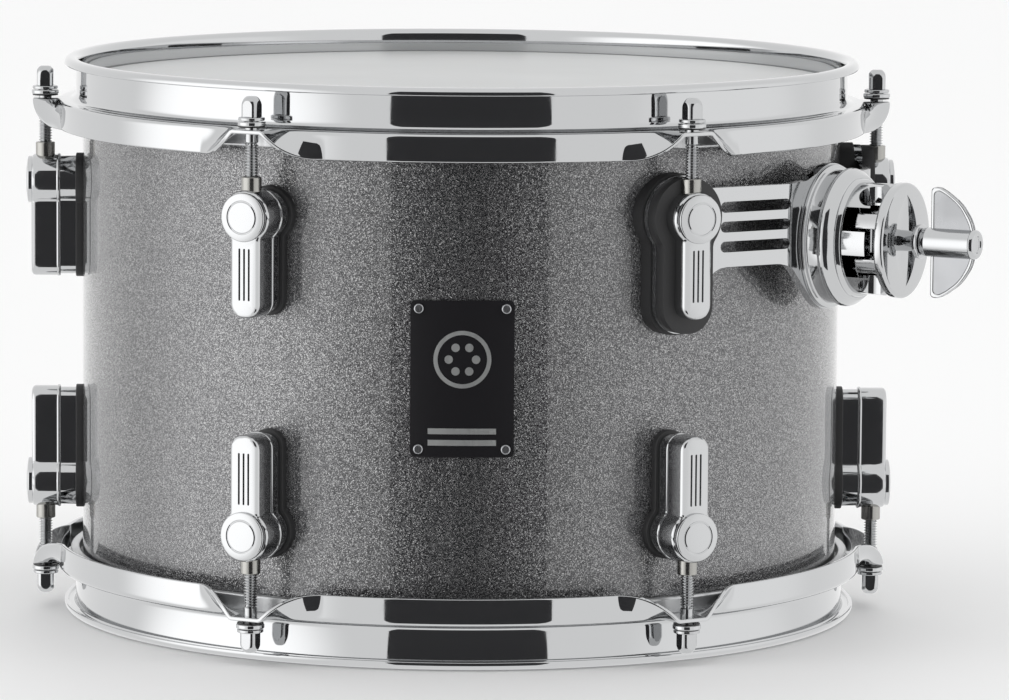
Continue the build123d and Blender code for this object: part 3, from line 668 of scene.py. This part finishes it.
# %% [markdown]
# ## Tension rods
# A tension rod is a long screw of 24 threads an inch, with a square head for the drum key. The bar
# stock is turned first, which leaves a domed tip and a round flange. The square is milled
# afterwards, so the flats cut arches into the dome. That is how it is made here: a turned head is
# cut down to a square bar. The thread is its profile, spun with a climb of one pitch a turn.

# %% Rod head
HEAD_ACROSS = 6.6
NYLON_WASHER, STEEL_WASHER, GAP = 0.5, 1.75, 0.3
HEAD_TOP = (rod_top_z - ear_top_z) / MM - (NYLON_WASHER + STEEL_WASHER + GAP)
FLANGE_Z = ear_top_z / MM + NYLON_WASHER + STEEL_WASHER + GAP
SHANK_R = 2.6


def rod_head():
    turned = spun(
        [(0, 1.0), (3.85, 1.0), (3.85, 7.3), (2.0, HEAD_TOP), (0, HEAD_TOP)],
        [0, 0, 4.0, 1.6, 0], 48)
    bar = block(HEAD_ACROSS, HEAD_ACROSS, 30)
    uprights = [e for e in bar.edges if abs(e.verts[0].co.z - e.verts[1].co.z) > 1]
    bmesh.ops.bevel(bar, geom=uprights, offset=0.9, offset_type="OFFSET", segments=3,
                    profile=0.5, affect="EDGES", material=-1)
    return cut(turned, bar, "INTERSECT")


def rod_shank():
    """Flange, smooth neck, the thread's core and the plain end, as one turned part."""
    return spun(
        [(0, 1.6), (3.4, 1.6), (5.05, 1.15), (5.05, 0), (SHANK_R, 0), (SHANK_R, -8.2),
         (1.98, -8.7), (1.98, -43.8), (1.2, -45), (0, -45)],
        [0, 0.5, 0.35, 0.25, 0, 0, 0, 0, 0, 0], 40)


def rod_thread(pitch=1.058, turns=27, steps=14):
    """A V thread: one pitch of its profile, spun with a climb."""
    bm = bmesh.new()
    ring = [bm.verts.new((r, 0, z * pitch)) for r, z in ((1.95, 0), (2.65, 0.4), (2.65, 0.55),
                                                       (1.95, 0.95), (1.95, 1.0))]
    for lower, upper in zip(ring, ring[1:]):
        bm.edges.new((lower, upper))
    bmesh.ops.spin(
        bm, geom=bm.verts[:] + bm.edges[:], cent=(0, 0, 0), axis=(0, 0, 1),
        dvec=(0, 0, pitch / steps), angle=2 * pi * turns, steps=steps * turns,
        use_merge=False, use_duplicate=False)
    bmesh.ops.remove_doubles(bm, verts=bm.verts[:], dist=1e-3)
    open_edges = [edge for edge in bm.edges if edge.is_boundary]
    bmesh.ops.holes_fill(bm, edges=open_edges, sides=0)
    bmesh.ops.translate(bm, vec=(0, 0, -8.3 - pitch * (turns + 1)), verts=bm.verts[:])
    return bm


rod_pattern = merged([rod_head(), rod_shank(), rod_thread()])
rod_mesh = bpy.data.meshes.new("rod_pattern")
rod_pattern.to_mesh(rod_mesh)
rod_pattern.free()
print("faces in one rod:", len(rod_mesh.polygons))

# %% [markdown]
# Every rod is the same screw, so it is made once and read back twelve times. Each one rides on its
# own body, because it turns by itself and climbs with its hoop.

# %% Twelve rods, each turning on its own body
for end, side in ENDS.items():
    for place, azimuth in PLACES.items():
        bm = bmesh.new()
        bm.from_mesh(rod_mesh)
        add_piece(
            f"{end}_rod_{place}_screw", bm, rod_chrome, f"{end}_rod_{place}_set",
            [f"{end}_rod_{place}"], sharp=28,
            place=along_axis(azimuth, rod_r, FLANGE_Z * MM, side) @ TO_METRES)
bpy.data.meshes.remove(rod_mesh)
print("rods:", 2 * len(PLACES))

# %% [markdown]
# Under each rod's flange lie a steel washer and a thin nylon one, and the rod screws into a
# swivel nut whose collar stands out of the lug. The steel washers and the collars are small turned
# rings; the nylon washer is only the gap left under the steel one.

# %% Washers and swivel nuts
WASHER_BORE, WASHER_R = 3.0, 5.45
NUT_BORE, NUT_R = 2.72, 3.85


def turned_ring(bore, outer, low, high, edge):
    return spun([(bore, low), (outer, low), (outer, high), (bore, high)],
                [edge * 0.6, edge, edge, edge * 0.6], 48)


for end, side in ENDS.items():
    spots = [along_axis(azimuth, rod_r, 0, side) @ TO_METRES for azimuth in PLACES.values()]
    low = ear_top_z / MM + NYLON_WASHER
    washer = turned_ring(WASHER_BORE, WASHER_R, low, low + STEEL_WASHER, 0.5)
    add_piece(f"{end}_steel_washers", copies(washer, spots), chrome, f"{end}_hoop_set",
              [f"{end}_rod_washers"])
    top = nut_high.z / MM - mid_z / MM
    bottom = nut_low.z / MM - mid_z / MM
    collar = spun(
        [(NUT_BORE, bottom), (NUT_R, bottom), (NUT_R, top), (NUT_BORE, top)],
        [0, 0.2, 0.45, 0.3], 48)
    add_piece(f"{end}_swivel_nuts", copies(collar, spots), nickel, "drum",
              [f"{end}_tension_nuts"])
print("rings under and over the lugs: 24")

# %% [markdown]
# ## Lugs
# Each lug is a zinc casting shaped like a keyhole: a round boss that holds the swivel nut, and an
# arm that runs down to the second screw. Its front is a plate with a rounded edge, a shallow bead
# runs behind the plate, and a crowned disc sits on the boss. The outline is a circle's arc from a
# spun vertex, closed by the arm's foot; grown outlines of the same shape make the rubber.

# %% Keyhole outline
BOSS_R = boss_r / MM
ARM_HALF = 6.25
ARM_LENGTH = (boss_z - lug_end_z) / MM


def keyhole(border=0.0, foot=None, end_round=None, waist=2.2):
    """Flat keyhole round a boss at the origin, its arm along -Y, grown by a border."""
    radius = BOSS_R + border
    half = ARM_HALF + border
    reach = ARM_LENGTH + (border if foot is None else foot)
    bm = bmesh.new()
    first = bm.verts.new((half, -sqrt(radius ** 2 - half ** 2), 0))
    sweep = 2 * pi - 2 * atan2(half, -first.co.y)
    arc = bmesh.ops.spin(
        bm, geom=[first], cent=(0, 0, 0), axis=(0, 0, 1), dvec=(0, 0, 0), angle=sweep,
        steps=44, use_merge=False, use_duplicate=False)
    last = next(v for v in arc["geom_last"] if isinstance(v, bmesh.types.BMVert))
    left_foot = bm.verts.new((-half, -reach, 0))
    right_foot = bm.verts.new((half, -reach, 0))
    for pair in ((last, left_foot), (left_foot, right_foot), (right_foot, first)):
        bm.edges.new(pair)
    bmesh.ops.contextual_create(bm, geom=bm.edges[:])
    ends = end_round if end_round is not None else half * 0.93
    for vert, rounding in ((left_foot, ends), (right_foot, ends), (first, waist), (last, waist)):
        round_corner(bm, vert, rounding, 7)
    return bm


def keyhole_slab(low, high, soft_low=0.0, soft_high=0.0, **outline):
    """A keyhole slab between two depths, with either rim rounded."""
    bm = moved(pushed_out(keyhole(**outline), high - low), 0, 0, low)
    if soft_high:
        soften_rim(bm, high, soft_high)
    if soft_low:
        soften_rim(bm, low, soft_low)
    return bm


print("lug: boss radius %.1f mm, arm %.1f mm" % (BOSS_R, ARM_LENGTH))

# %% [markdown]
# The body is a stack: a slightly narrower neck on the rubber, the bead, and the front block. The
# disc's crown is turned with one ring in it, and three grooves are cut down the arm with rounded
# slot cutters.

# %% One lug
def slot_cutter(width, length, low, high):
    bm = flat_outline(
        [(-width / 2, -length / 2), (width / 2, -length / 2), (width / 2, length / 2),
         (-width / 2, length / 2)], [width * 0.49] * 4)
    return moved(pushed_out(bm, high - low), 0, 0, low)


def crown_disc(radius, low, high):
    """Crowned disc with one shallow ring turned in its face."""
    ring = radius * 0.66
    return spun(
        [(0, low), (radius, low), (radius, high - 0.75), (ring + 0.45, high - 0.22),
         (ring, high - 0.5), (ring - 0.45, high - 0.12), (0, high)],
        [0, 0, 0.55, 0.2, 0.2, 0.2, 0], 72)


LUG_BACK, MOUNT_LUG_BACK, LUG_FRONT = 10.2, 12.5, 20.4
DISC_R, DISC_BACK, DISC_FRONT = 9.35, 18.0, 22.6
GROOVE_WIDTH, GROOVE_LENGTH, GROOVE_PITCH = 0.85, 20.0, 2.07
GROOVE_MIDDLE = -21.9
GASKET = 2.7


def lug_shape(on_mount):
    base = MOUNT_LUG_BACK if on_mount else LUG_BACK
    front = keyhole_slab(base, LUG_FRONT, 0, 1.7, end_round=5.4)
    for n in (-1, 0, 1):
        groove = slot_cutter(GROOVE_WIDTH, GROOVE_LENGTH, LUG_FRONT - 0.8, LUG_FRONT + 0.6)
        front = cut(front, moved(groove, n * GROOVE_PITCH, GROOVE_MIDDLE, 0))
    slabs = [front, crown_disc(DISC_R, DISC_BACK, DISC_FRONT)]
    if not on_mount:
        slabs.append(keyhole_slab(8.7, 10.4, 0.75, 0.75, border=0.4))
        slabs.append(keyhole_slab(GASKET, 9.0, border=-0.6))
    return merged(slabs)


for end, side in ENDS.items():
    for place, azimuth in PLACES.items():
        on_mount = end == "top" and place in MOUNT_PLACES
        add_piece(
            f"{end}_lug_casting_{place}", lug_shape(on_mount), cast_chrome, "drum",
            [f"{end}_lug_{place}"], sharp=30,
            place=facing_out(azimuth, 0, boss_z, side) @ TO_METRES)
print("lugs:", 2 * len(PLACES))

# %% [markdown]
# ### Rubber behind the lugs
# A thin keyhole gasket keeps each plain lug off the wrap. The two lugs that carry the bracket
# have thick cushions instead, one behind the bracket and one in front of it, with a wide rounded
# shoulder. The hidden inner side of each would meet the round shell, so it is cut to it.

# %% Gaskets and cushions
def shell_plug():
    """The shell as a cutter in a lug's local frame, its axis behind the lug."""
    radius = shell_r / MM
    return moved(quarter_turned(cylinder(radius, -150, 150, 240), "X"), 0, 0, -radius)


REAR_CUSHION, FRONT_CUSHION = (-GASKET, 5.5), (8.5, 13.5)
gasket = cut(keyhole_slab(-GASKET, GASKET, 0, 0.4, border=0.5), shell_plug())
rear = cut(
    keyhole_slab(*REAR_CUSHION, 0, 0.9, border=6.0, foot=7.2, end_round=11.0, waist=5.0),
    shell_plug())
front = keyhole_slab(*FRONT_CUSHION, 0.3, 3.0, border=5.0, foot=6.0, end_round=10.4, waist=5.0)
for end, side in ENDS.items():
    spots = [facing_out(azimuth, 0, boss_z, side) @ TO_METRES
             for place, azimuth in PLACES.items()
             if not (end == "top" and place in MOUNT_PLACES)]
    add_piece(f"{end}_gasket_rubber", copies(gasket.copy(), spots), rubber, "drum",
              [f"{end}_lug_gaskets"])
gasket.free()
for place in MOUNT_PLACES:
    spot = facing_out(PLACES[place], 0, boss_z) @ TO_METRES
    for name, shape in (("rear", rear), ("front", front)):
        add_piece(f"{name}_cushion_{place}", shape.copy(), rubber, "drum",
                  [f"mount_{name}_cushion_{place}"], place=spot)
rear.free()
front.free()
print("rubber pieces: 6")

# %% [markdown]
# ## The mount bracket
# The bracket is one strip of 3 mm plate: it lies flat behind each of the two lugs, runs across
# the gap between them, and bends outwards to a round boss that the clamp bolts to. Each arm has
# three slots. It is made from two flat halves, mirrored about the clamp's own azimuth: the plate's
# outline is drawn flat, cut with slots and then bent up at the boss.

# %% Bracket plate
MOUNT_AZIMUTH = 60.0
BOSS_STAND = 12.0
PLATE = 3.0
ARM_PLANE = 5.5
CLAMP_DROP = 13.2
CLAMP_Z = boss_z - CLAMP_DROP * MM
ARM_TOP, ARM_LOW = 10.2, -20.5
HALF_TURN = radians(30)
PLATE_BEND = 8.0
PAD_BORDER = 5.4
BOSS_DISC_R = 28.5
SLOT_WIDTH, SLOT_LENGTH, SLOT_PITCH = 4.2, 32.0, 7.65
SLOT_ALONG, SLOT_HEIGHT = 34.0, -5.1
SHELL_R = shell_r / MM
arm_mid_r = SHELL_R + ARM_PLANE + PLATE / 2
boss_mid_r = SHELL_R + BOSS_STAND - PLATE / 2
bend_u = (boss_mid_r - arm_mid_r * cos(HALF_TURN)) / sin(HALF_TURN)
boss_half = arm_mid_r * sin(HALF_TURN) - bend_u * cos(HALF_TURN)
print("the plate bends %.1f mm along its arm, %.1f mm from the clamp's axis" % (bend_u, boss_half))


def bracket_blank():
    """One half of the plate unrolled flat: one arm, the round boss and the slots, seen from
    outside.
    """
    reach = boss_half + bend_u - 2 * PLATE_BEND * tan(HALF_TURN / 2) + PLATE_BEND * HALF_TURN
    arm = keyhole(border=PAD_BORDER, foot=6.4, end_round=10.8, waist=5.0)
    pad = pushed_out(moved(arm, -reach, 0, 0), PLATE)
    side_x = ARM_HALF + PAD_BORDER - reach
    strip = flat_outline(
        [(-reach, -29), (side_x, -29), (side_x, ARM_LOW), (-37.0, ARM_LOW), (-18.3, -35.0),
         (0, -35.0), (0, ARM_TOP + 2.4), (-12, ARM_TOP + 2.4), (-22, ARM_TOP), (-reach, ARM_TOP)],
        [0, 0, 9.0, 14.0, 0, 0, 0, 0, 12.0, 0])
    blank = cut(pad, pushed_out(strip, PLATE), "UNION")
    disc = moved(cylinder(BOSS_DISC_R, 0, PLATE, 96), 0, -CLAMP_DROP, 0)
    blank = cut(blank, disc, "UNION")
    for n in (-1, 0, 1):
        slot = quarter_turned(slot_cutter(SLOT_WIDTH, SLOT_LENGTH, -1, PLATE + 1), "Z")
        blank = cut(blank, moved(slot, -reach + SLOT_ALONG, SLOT_HEIGHT + n * SLOT_PITCH, 0))
    return blank


# %% [markdown]
# The flat plate is sliced into narrow bands across its length, so that it can bend smoothly. Each
# point beyond the bend line is then turned about it by thirty degrees, on a radius of 8 mm at the
# plate's middle.

# %% Bend it and mirror the half
def bend_half(bm):
    """Bend the arm's plane back from the boss's plane, past the bend line."""
    angle = HALF_TURN
    radius = PLATE_BEND
    start = -boss_half + radius * tan(angle / 2)
    for n in range(9):
        at = start - radius * angle * n / 8
        bmesh.ops.bisect_plane(
            bm, geom=bm.verts[:] + bm.edges[:] + bm.faces[:], dist=1e-4, plane_co=(at, 0, 0),
            plane_no=(1, 0, 0))
    bmesh.ops.bisect_plane(
        bm, geom=bm.verts[:] + bm.edges[:] + bm.faces[:], dist=1e-4, plane_co=(0, 0, 0),
        plane_no=(1, 0, 0), clear_outer=True)
    for vert in bm.verts:
        along = start - vert.co.x
        if along <= 0:
            continue
        height = vert.co.z - PLATE / 2
        turned = min(along / radius, angle)
        beyond = max(along - radius * angle, 0)
        x = start - (radius + height) * sin(turned) - beyond * cos(turned)
        z = PLATE / 2 - radius + (radius + height) * cos(turned) - beyond * sin(turned)
        vert.co.x, vert.co.z = x, z
    return bm


half = bend_half(bracket_blank())
rims = [edge for edge in half.edges if edge.is_boundary]
for vert in {v for edge in rims for v in edge.verts}:
    vert.co.x = 0
bmesh.ops.mirror(half, geom=half.verts[:] + half.edges[:] + half.faces[:],
                 matrix=Matrix.Identity(4), merge_dist=1e-3, axis="X")
bmesh.ops.remove_doubles(half, verts=half.verts[:], dist=1e-3)
moved(half, 0, 0, BOSS_STAND - PLATE)
bracket = add_piece(
    "bracket_plate", half, cast_chrome, "drum", ["mount_bracket"], sharp=30, bevel=0.5,
    place=facing_out(MOUNT_AZIMUTH, 0, boss_z, 1) @ TO_METRES)
print("bracket faces:", len(bracket.data.polygons))

# %% [markdown]
# ## The rod clamp
# The clamp is a set of castings on one axis. Its base is a flange with a dark waist, a broad
# convex ring and a shallow cup, out of which three fingers stand. The jaw's own fingers reach in
# between them from the other side, and the tom arm's rod is squeezed in the seat that both sets
# leave. Everything round is turned from an outline, and the fingers are blocks cut to a cylinder
# and then bored for the held rod.

# %% Clamp places
clamp_place = facing_out(MOUNT_AZIMUTH, BOSS_STAND * MM, CLAMP_Z, 1) @ TO_METRES
ROD_SEAT = (11.0, 23.0)
SEAT_SIDE = -1
HELD_R = 10.5 / 2
BOLT_BORE = 3.1
FINGER_ACROSS = 43.5
JAW_R, JAW_BACK, JAW_FACE = 22.5, 28.5, 32.5
HUB_END, WING_WASHER = 37.5, 2.0
WING_START = HUB_END + WING_WASHER + GAP


def finger_blocks(heights, low, high, diameter):
    """Blocks across the clamp at the given (centre, height), cut to a cylinder."""
    made = []
    for centre, height in heights:
        bar = moved(block(diameter + 2, height, high - low), 0, centre, (low + high) / 2)
        made.append(cut(bar, cylinder(diameter / 2, low - 1, high + 1, 96), "INTERSECT"))
    return merged(made)


def rod_bore(way):
    """The held rod's seat as a cutter: a bore, open outwards (1) or inwards (-1)."""
    bore = quarter_turned(cylinder(HELD_R, -40, 40, 64), "X")
    mouth = moved(block(2 * HELD_R, 80, 2 * HELD_R), 0, 0, way * HELD_R)
    return moved(cut(bore, mouth, "UNION"), SEAT_SIDE * ROD_SEAT[0], 0, ROD_SEAT[1])


print("held rod: %.1f mm across" % (2 * HELD_R))

# %% Clamp base
base_turned = spun(
    [(BOLT_BORE, 0), (28, 0), (28, 1.6), (26.2, 1.9), (26.0, 6.8), (27.0, 7.2), (27.0, 9.6),
     (24.2, 12.9), (23.4, 12.7), (23.2, 13.3), (22.7, 14.5), (21.0, 14.5), (20.5, 12.8),
     (20.5, 4), (BOLT_BORE, 4)],
    [0, 0.4, 0.6, 0.8, 0.8, 0.7, 3.6, 1.0, 0.2, 0.2, 0.5, 0.6, 0.5, 0.5, 0], 128)
base_fingers = cut(
    finger_blocks([(0, 9.4), (18.05, 8.8), (-18.05, 8.8)], 3.6, 24.5, FINGER_ACROSS),
    rod_bore(1))
base_fingers = cut(base_fingers, cylinder(BOLT_BORE, 0, 30, 48))
for name, shape, bevel in (("casting", base_turned, 0.0), ("fingers", base_fingers, 0.55)):
    add_piece(f"clamp_base_{name}", shape, cast_chrome, "drum", ["clamp_base"],
              place=clamp_place, sharp=30, bevel=bevel)
print("clamp base made")

# %% [markdown]
# The jaw is a disc with a lens-shaped dish in its face, two fingers behind it, and a thin turned
# sleeve at its middle. It slides with the clamp_slide joint, so it rides on its own body.

# %% Clamp jaw
def lens_cutter(width, height, low, high):
    """A pointed oval, where two circles overlap."""
    radius = (height ** 2 + width ** 2) / (4 * width)
    halves = []
    for way in (1, -1):
        disc = cylinder(radius, low, high, 160)
        halves.append(moved(disc, way * (radius - width / 2), 0, 0))
    return cut(halves[0], halves[1], "INTERSECT")


def dish_cutter(width, height, depth):
    """The lens cutter with a round belly, so that it leaves a shallow dish."""
    radius = (height ** 2 / 4 + depth ** 2) / (2 * depth)
    ball = bmesh.new()
    bmesh.ops.create_uvsphere(ball, u_segments=192, v_segments=96, radius=radius)
    moved(ball, 0, 0, JAW_FACE + radius - depth)
    return cut(lens_cutter(width, height, JAW_FACE - 4, JAW_FACE + 4), ball, "INTERSECT")


jaw_disc = spun(
    [(BOLT_BORE, JAW_BACK), (JAW_R, JAW_BACK), (JAW_R, JAW_FACE), (BOLT_BORE, JAW_FACE)],
    [0, 0.8, 1.2, 0], 128)
jaw_disc = cut(jaw_disc, dish_cutter(20, 36, 2.6))
jaw_disc = cut(jaw_disc, rod_bore(-1))
jaw_fingers = cut(
    finger_blocks([(8.7, 5.6), (-8.7, 5.6)], 20.0, 29.0, FINGER_ACROSS), rod_bore(-1))
hub = spun(
    [(BOLT_BORE, 29.5), (4.1, 29.5), (4.0, 36.3), (5.2, 36.6), (5.2, HUB_END),
     (BOLT_BORE, HUB_END)],
    [0, 0, 0.4, 0.3, 0.4, 0.3], 72)
for name, shape, bevel in (
        ("disc", jaw_disc, 0.4), ("fingers", jaw_fingers, 0.5), ("hub", hub, 0.0)):
    add_piece(f"clamp_jaw_{name}", shape, cast_chrome, "clamp_jaw_set", ["clamp_jaw"],
              place=clamp_place, sharp=30, bevel=bevel)
washer_end = HUB_END + WING_WASHER
washer = spun([(3.2, HUB_END), (6.65, HUB_END), (6.65, washer_end), (3.2, washer_end)],
              [0.3, 0.5, 0.5, 0.3], 64)
add_piece("wing_steel_washer", washer, chrome, "clamp_jaw_set", ["wing_washer"],
          place=clamp_place)
print("clamp jaw made")

# %% [markdown]
# ## The wing nut
# The nut is a casting with a barrel and two thin wings. Each wing's inner face is straight, its
# outer edge is a curve that leans in to the barrel's cap, and a raised polished band follows that
# curve while the face inside it is satin. The wing's outline is drawn once and mirrored.

# %% Wing outline
def wing_outline(inset=0.0):
    """Half of the nut seen from the side, from its barrel out to a tip: X out, Y along."""
    s, t = WING_START + 3.6, WING_START
    points = [(4.0, s + inset), (21.5 - inset, s + inset), (21.5 - inset, s + 3.6),
              (20.0 - inset, t + 10.2), (15.6 - inset * 0.8, t + 16.3 - inset * 0.4),
              (9.2 - inset * 0.7, t + 20.6 - inset * 0.9), (4.0, t + 22.0 - inset)]
    return flat_outline(points, [0, 1.6, 3.0, 14.0, 14.0, 12.0, 0])


def wing_slab(thickness, inset=0.0):
    return moved(pushed_out(wing_outline(inset), thickness), 0, 0, -thickness / 2)


# %% [markdown]
# The blade is a thin slab of that outline. The band is a thicker slab with the inset outline cut
# out of it, so that it stands a little proud on both faces. The barrel is turned.

# %% Wing nut
BLADE, BAND, BAND_WIDTH = 2.2, 2.8, 1.5


def wing_band():
    """The raised band along the wing's edge, on both faces."""
    return cut(wing_slab(BAND), wing_slab(6, BAND_WIDTH))


def stand_wing(bm, way):
    """Turn a half drawn on XY so that it stands along the clamp's Z, up or down its Y."""
    turn = Matrix(((0, 0, 1, 0), (way, 0, 0, 0), (0, 1, 0, 0), (0, 0, 0, 1)))
    bmesh.ops.transform(bm, matrix=turn, verts=bm.verts[:])
    bmesh.ops.recalc_face_normals(bm, faces=bm.faces[:])
    return bm


barrel = spun(
    [(BOLT_BORE, WING_START), (5.3, WING_START), (5.75, WING_START + 2.2),
     (5.75, WING_START + 20.9), (5.9, WING_START + 21.2), (5.4, WING_START + 23.1),
     (3.4, WING_START + 23.1),
     (3.0, WING_START + 22.4), (0, WING_START + 22.4), (0, WING_START + 21),
     (BOLT_BORE, WING_START + 21)],
    [0.3, 0.5, 0.4, 0.3, 0.4, 1.1, 0.3, 0.3, 0, 0, 0], 80)
satin_chrome = make_chrome("satin_chrome_casting", "#A6A7A9", 0.24, 25.0)
bands = merged([stand_wing(wing_band(), way) for way in (1, -1)])
blades = merged([stand_wing(wing_slab(BLADE), way) for way in (1, -1)])
for name, shape, finish, bevel in (
        ("barrel", barrel, cast_chrome, 0.0), ("blades", blades, satin_chrome, 0.3),
        ("bands", bands, cast_chrome, 0.45)):
    add_piece(f"wing_nut_{name}", shape, finish, "wing", ["wing_nut"],
              place=clamp_place, sharp=30, bevel=bevel)
print("wing nut made")

# %% [markdown]
# ## The studio
# Chrome shows whatever stands round it, so the studio matters as much as the drum. It is a white
# room with a pale floor, a soft panel above, and a dark flag behind the camera, which draws the
# calm dark band down the middle of the shell and across the hoops.

# %% Floor, flag and the panel above
def stage_plane(name, place, look_at, size, material):
    mesh = bpy.data.meshes.new(name)
    bm = bmesh.new()
    bmesh.ops.create_grid(bm, x_segments=1, y_segments=1, size=0.5)
    bm.to_mesh(mesh)
    bm.free()
    mesh.materials.append(material)
    plane = bpy.data.objects.new(name, mesh)
    turn = (Vector(look_at) - Vector(place)).to_track_quat("Z", "Y").to_matrix().to_4x4()
    plane.matrix_world = Matrix.Translation(place) @ turn @ Matrix.Diagonal((*size, 1, 1))
    bpy.context.scene.collection.objects.link(plane)
    return plane


def area_light(name, place, look_at, size, watts):
    data = bpy.data.lights.new(name, "AREA")
    data.shape = "RECTANGLE"
    data.size, data.size_y = size
    data.energy = watts
    light = bpy.data.objects.new(name, data)
    turn = (Vector(look_at) - Vector(place)).to_track_quat("-Z", "Y").to_matrix().to_4x4()
    light.matrix_world = Matrix.Translation(place) @ turn
    bpy.context.scene.collection.objects.link(light)
    light.visible_glossy = False
    return light


floor_paint = start_material(
    "pale_floor", Base_Color=to_linear("#F6F6F6"), Roughness=0.6)[0]
flag_cloth = start_material(
    "dark_flag_cloth", Base_Color=to_linear("#303032"), Roughness=0.9)[0]
heart = (0, 0, mid_z)
floor = stage_plane("floor", (0, 0, -0.0005), (0, 0, 1), (9, 9), floor_paint)
floor.visible_glossy = False
flag = stage_plane("flag", (0.058, -3.0, mid_z), heart, (2.53, 6.0), flag_cloth)
flag.visible_camera = False
flag.visible_shadow = False
area_light("panel_top", (0.3, -0.6, 2.6), heart, (1.6, 1.6), 6)

# %% [markdown]
# The room itself is a white world. Two soft glows stand in it, one to each side, as large
# diffused panels would: each is a smooth rise in brightness round one direction, so that chrome
# shows no hard edge there. The left one is the stronger.

# %% White room with two soft glows
world = bpy.data.worlds.new("white_room")
world.use_nodes = True
room = world.node_tree
look = add_node(room, "ShaderNodeTexCoord").outputs["Generated"]


def glow(azimuth, gain, narrow, wide):
    """A smooth rise in brightness round an azimuth, between two angles from it."""
    toward = add_node(room, "ShaderNodeVectorMath", {"operation": "DOT_PRODUCT"}, {
        0: look, 1: tuple(outward(azimuth))})
    return add_node(room, "ShaderNodeMapRange", {"interpolation_type": "SMOOTHERSTEP"}, {
        "Value": toward.outputs["Value"], "From Min": cos(radians(wide)),
        "From Max": cos(radians(narrow)), "To Min": 0.0, "To Max": gain}).outputs["Result"]


LEFT_GLOW, RIGHT_GLOW = 0.8, 0.15
both = add_node(room, "ShaderNodeMath", {"operation": "ADD"}, {
    0: glow(-74, LEFT_GLOW, 6, 44), 1: glow(84, RIGHT_GLOW, 6, 40)})
brightness = add_node(room, "ShaderNodeMath", {"operation": "ADD"}, {
    0: both.outputs["Value"], 1: 1.0})
room.links.new(brightness.outputs["Value"], room.nodes["Background"].inputs["Strength"])
room.nodes["Background"].inputs["Color"].default_value = (1, 1, 1, 1)
bpy.context.scene.world = world
bpy.context.scene.view_settings.view_transform = "Standard"
print("room brightness 1.0, left glow %.2f, right glow %.2f" % (1 + LEFT_GLOW, 1 + RIGHT_GLOW))
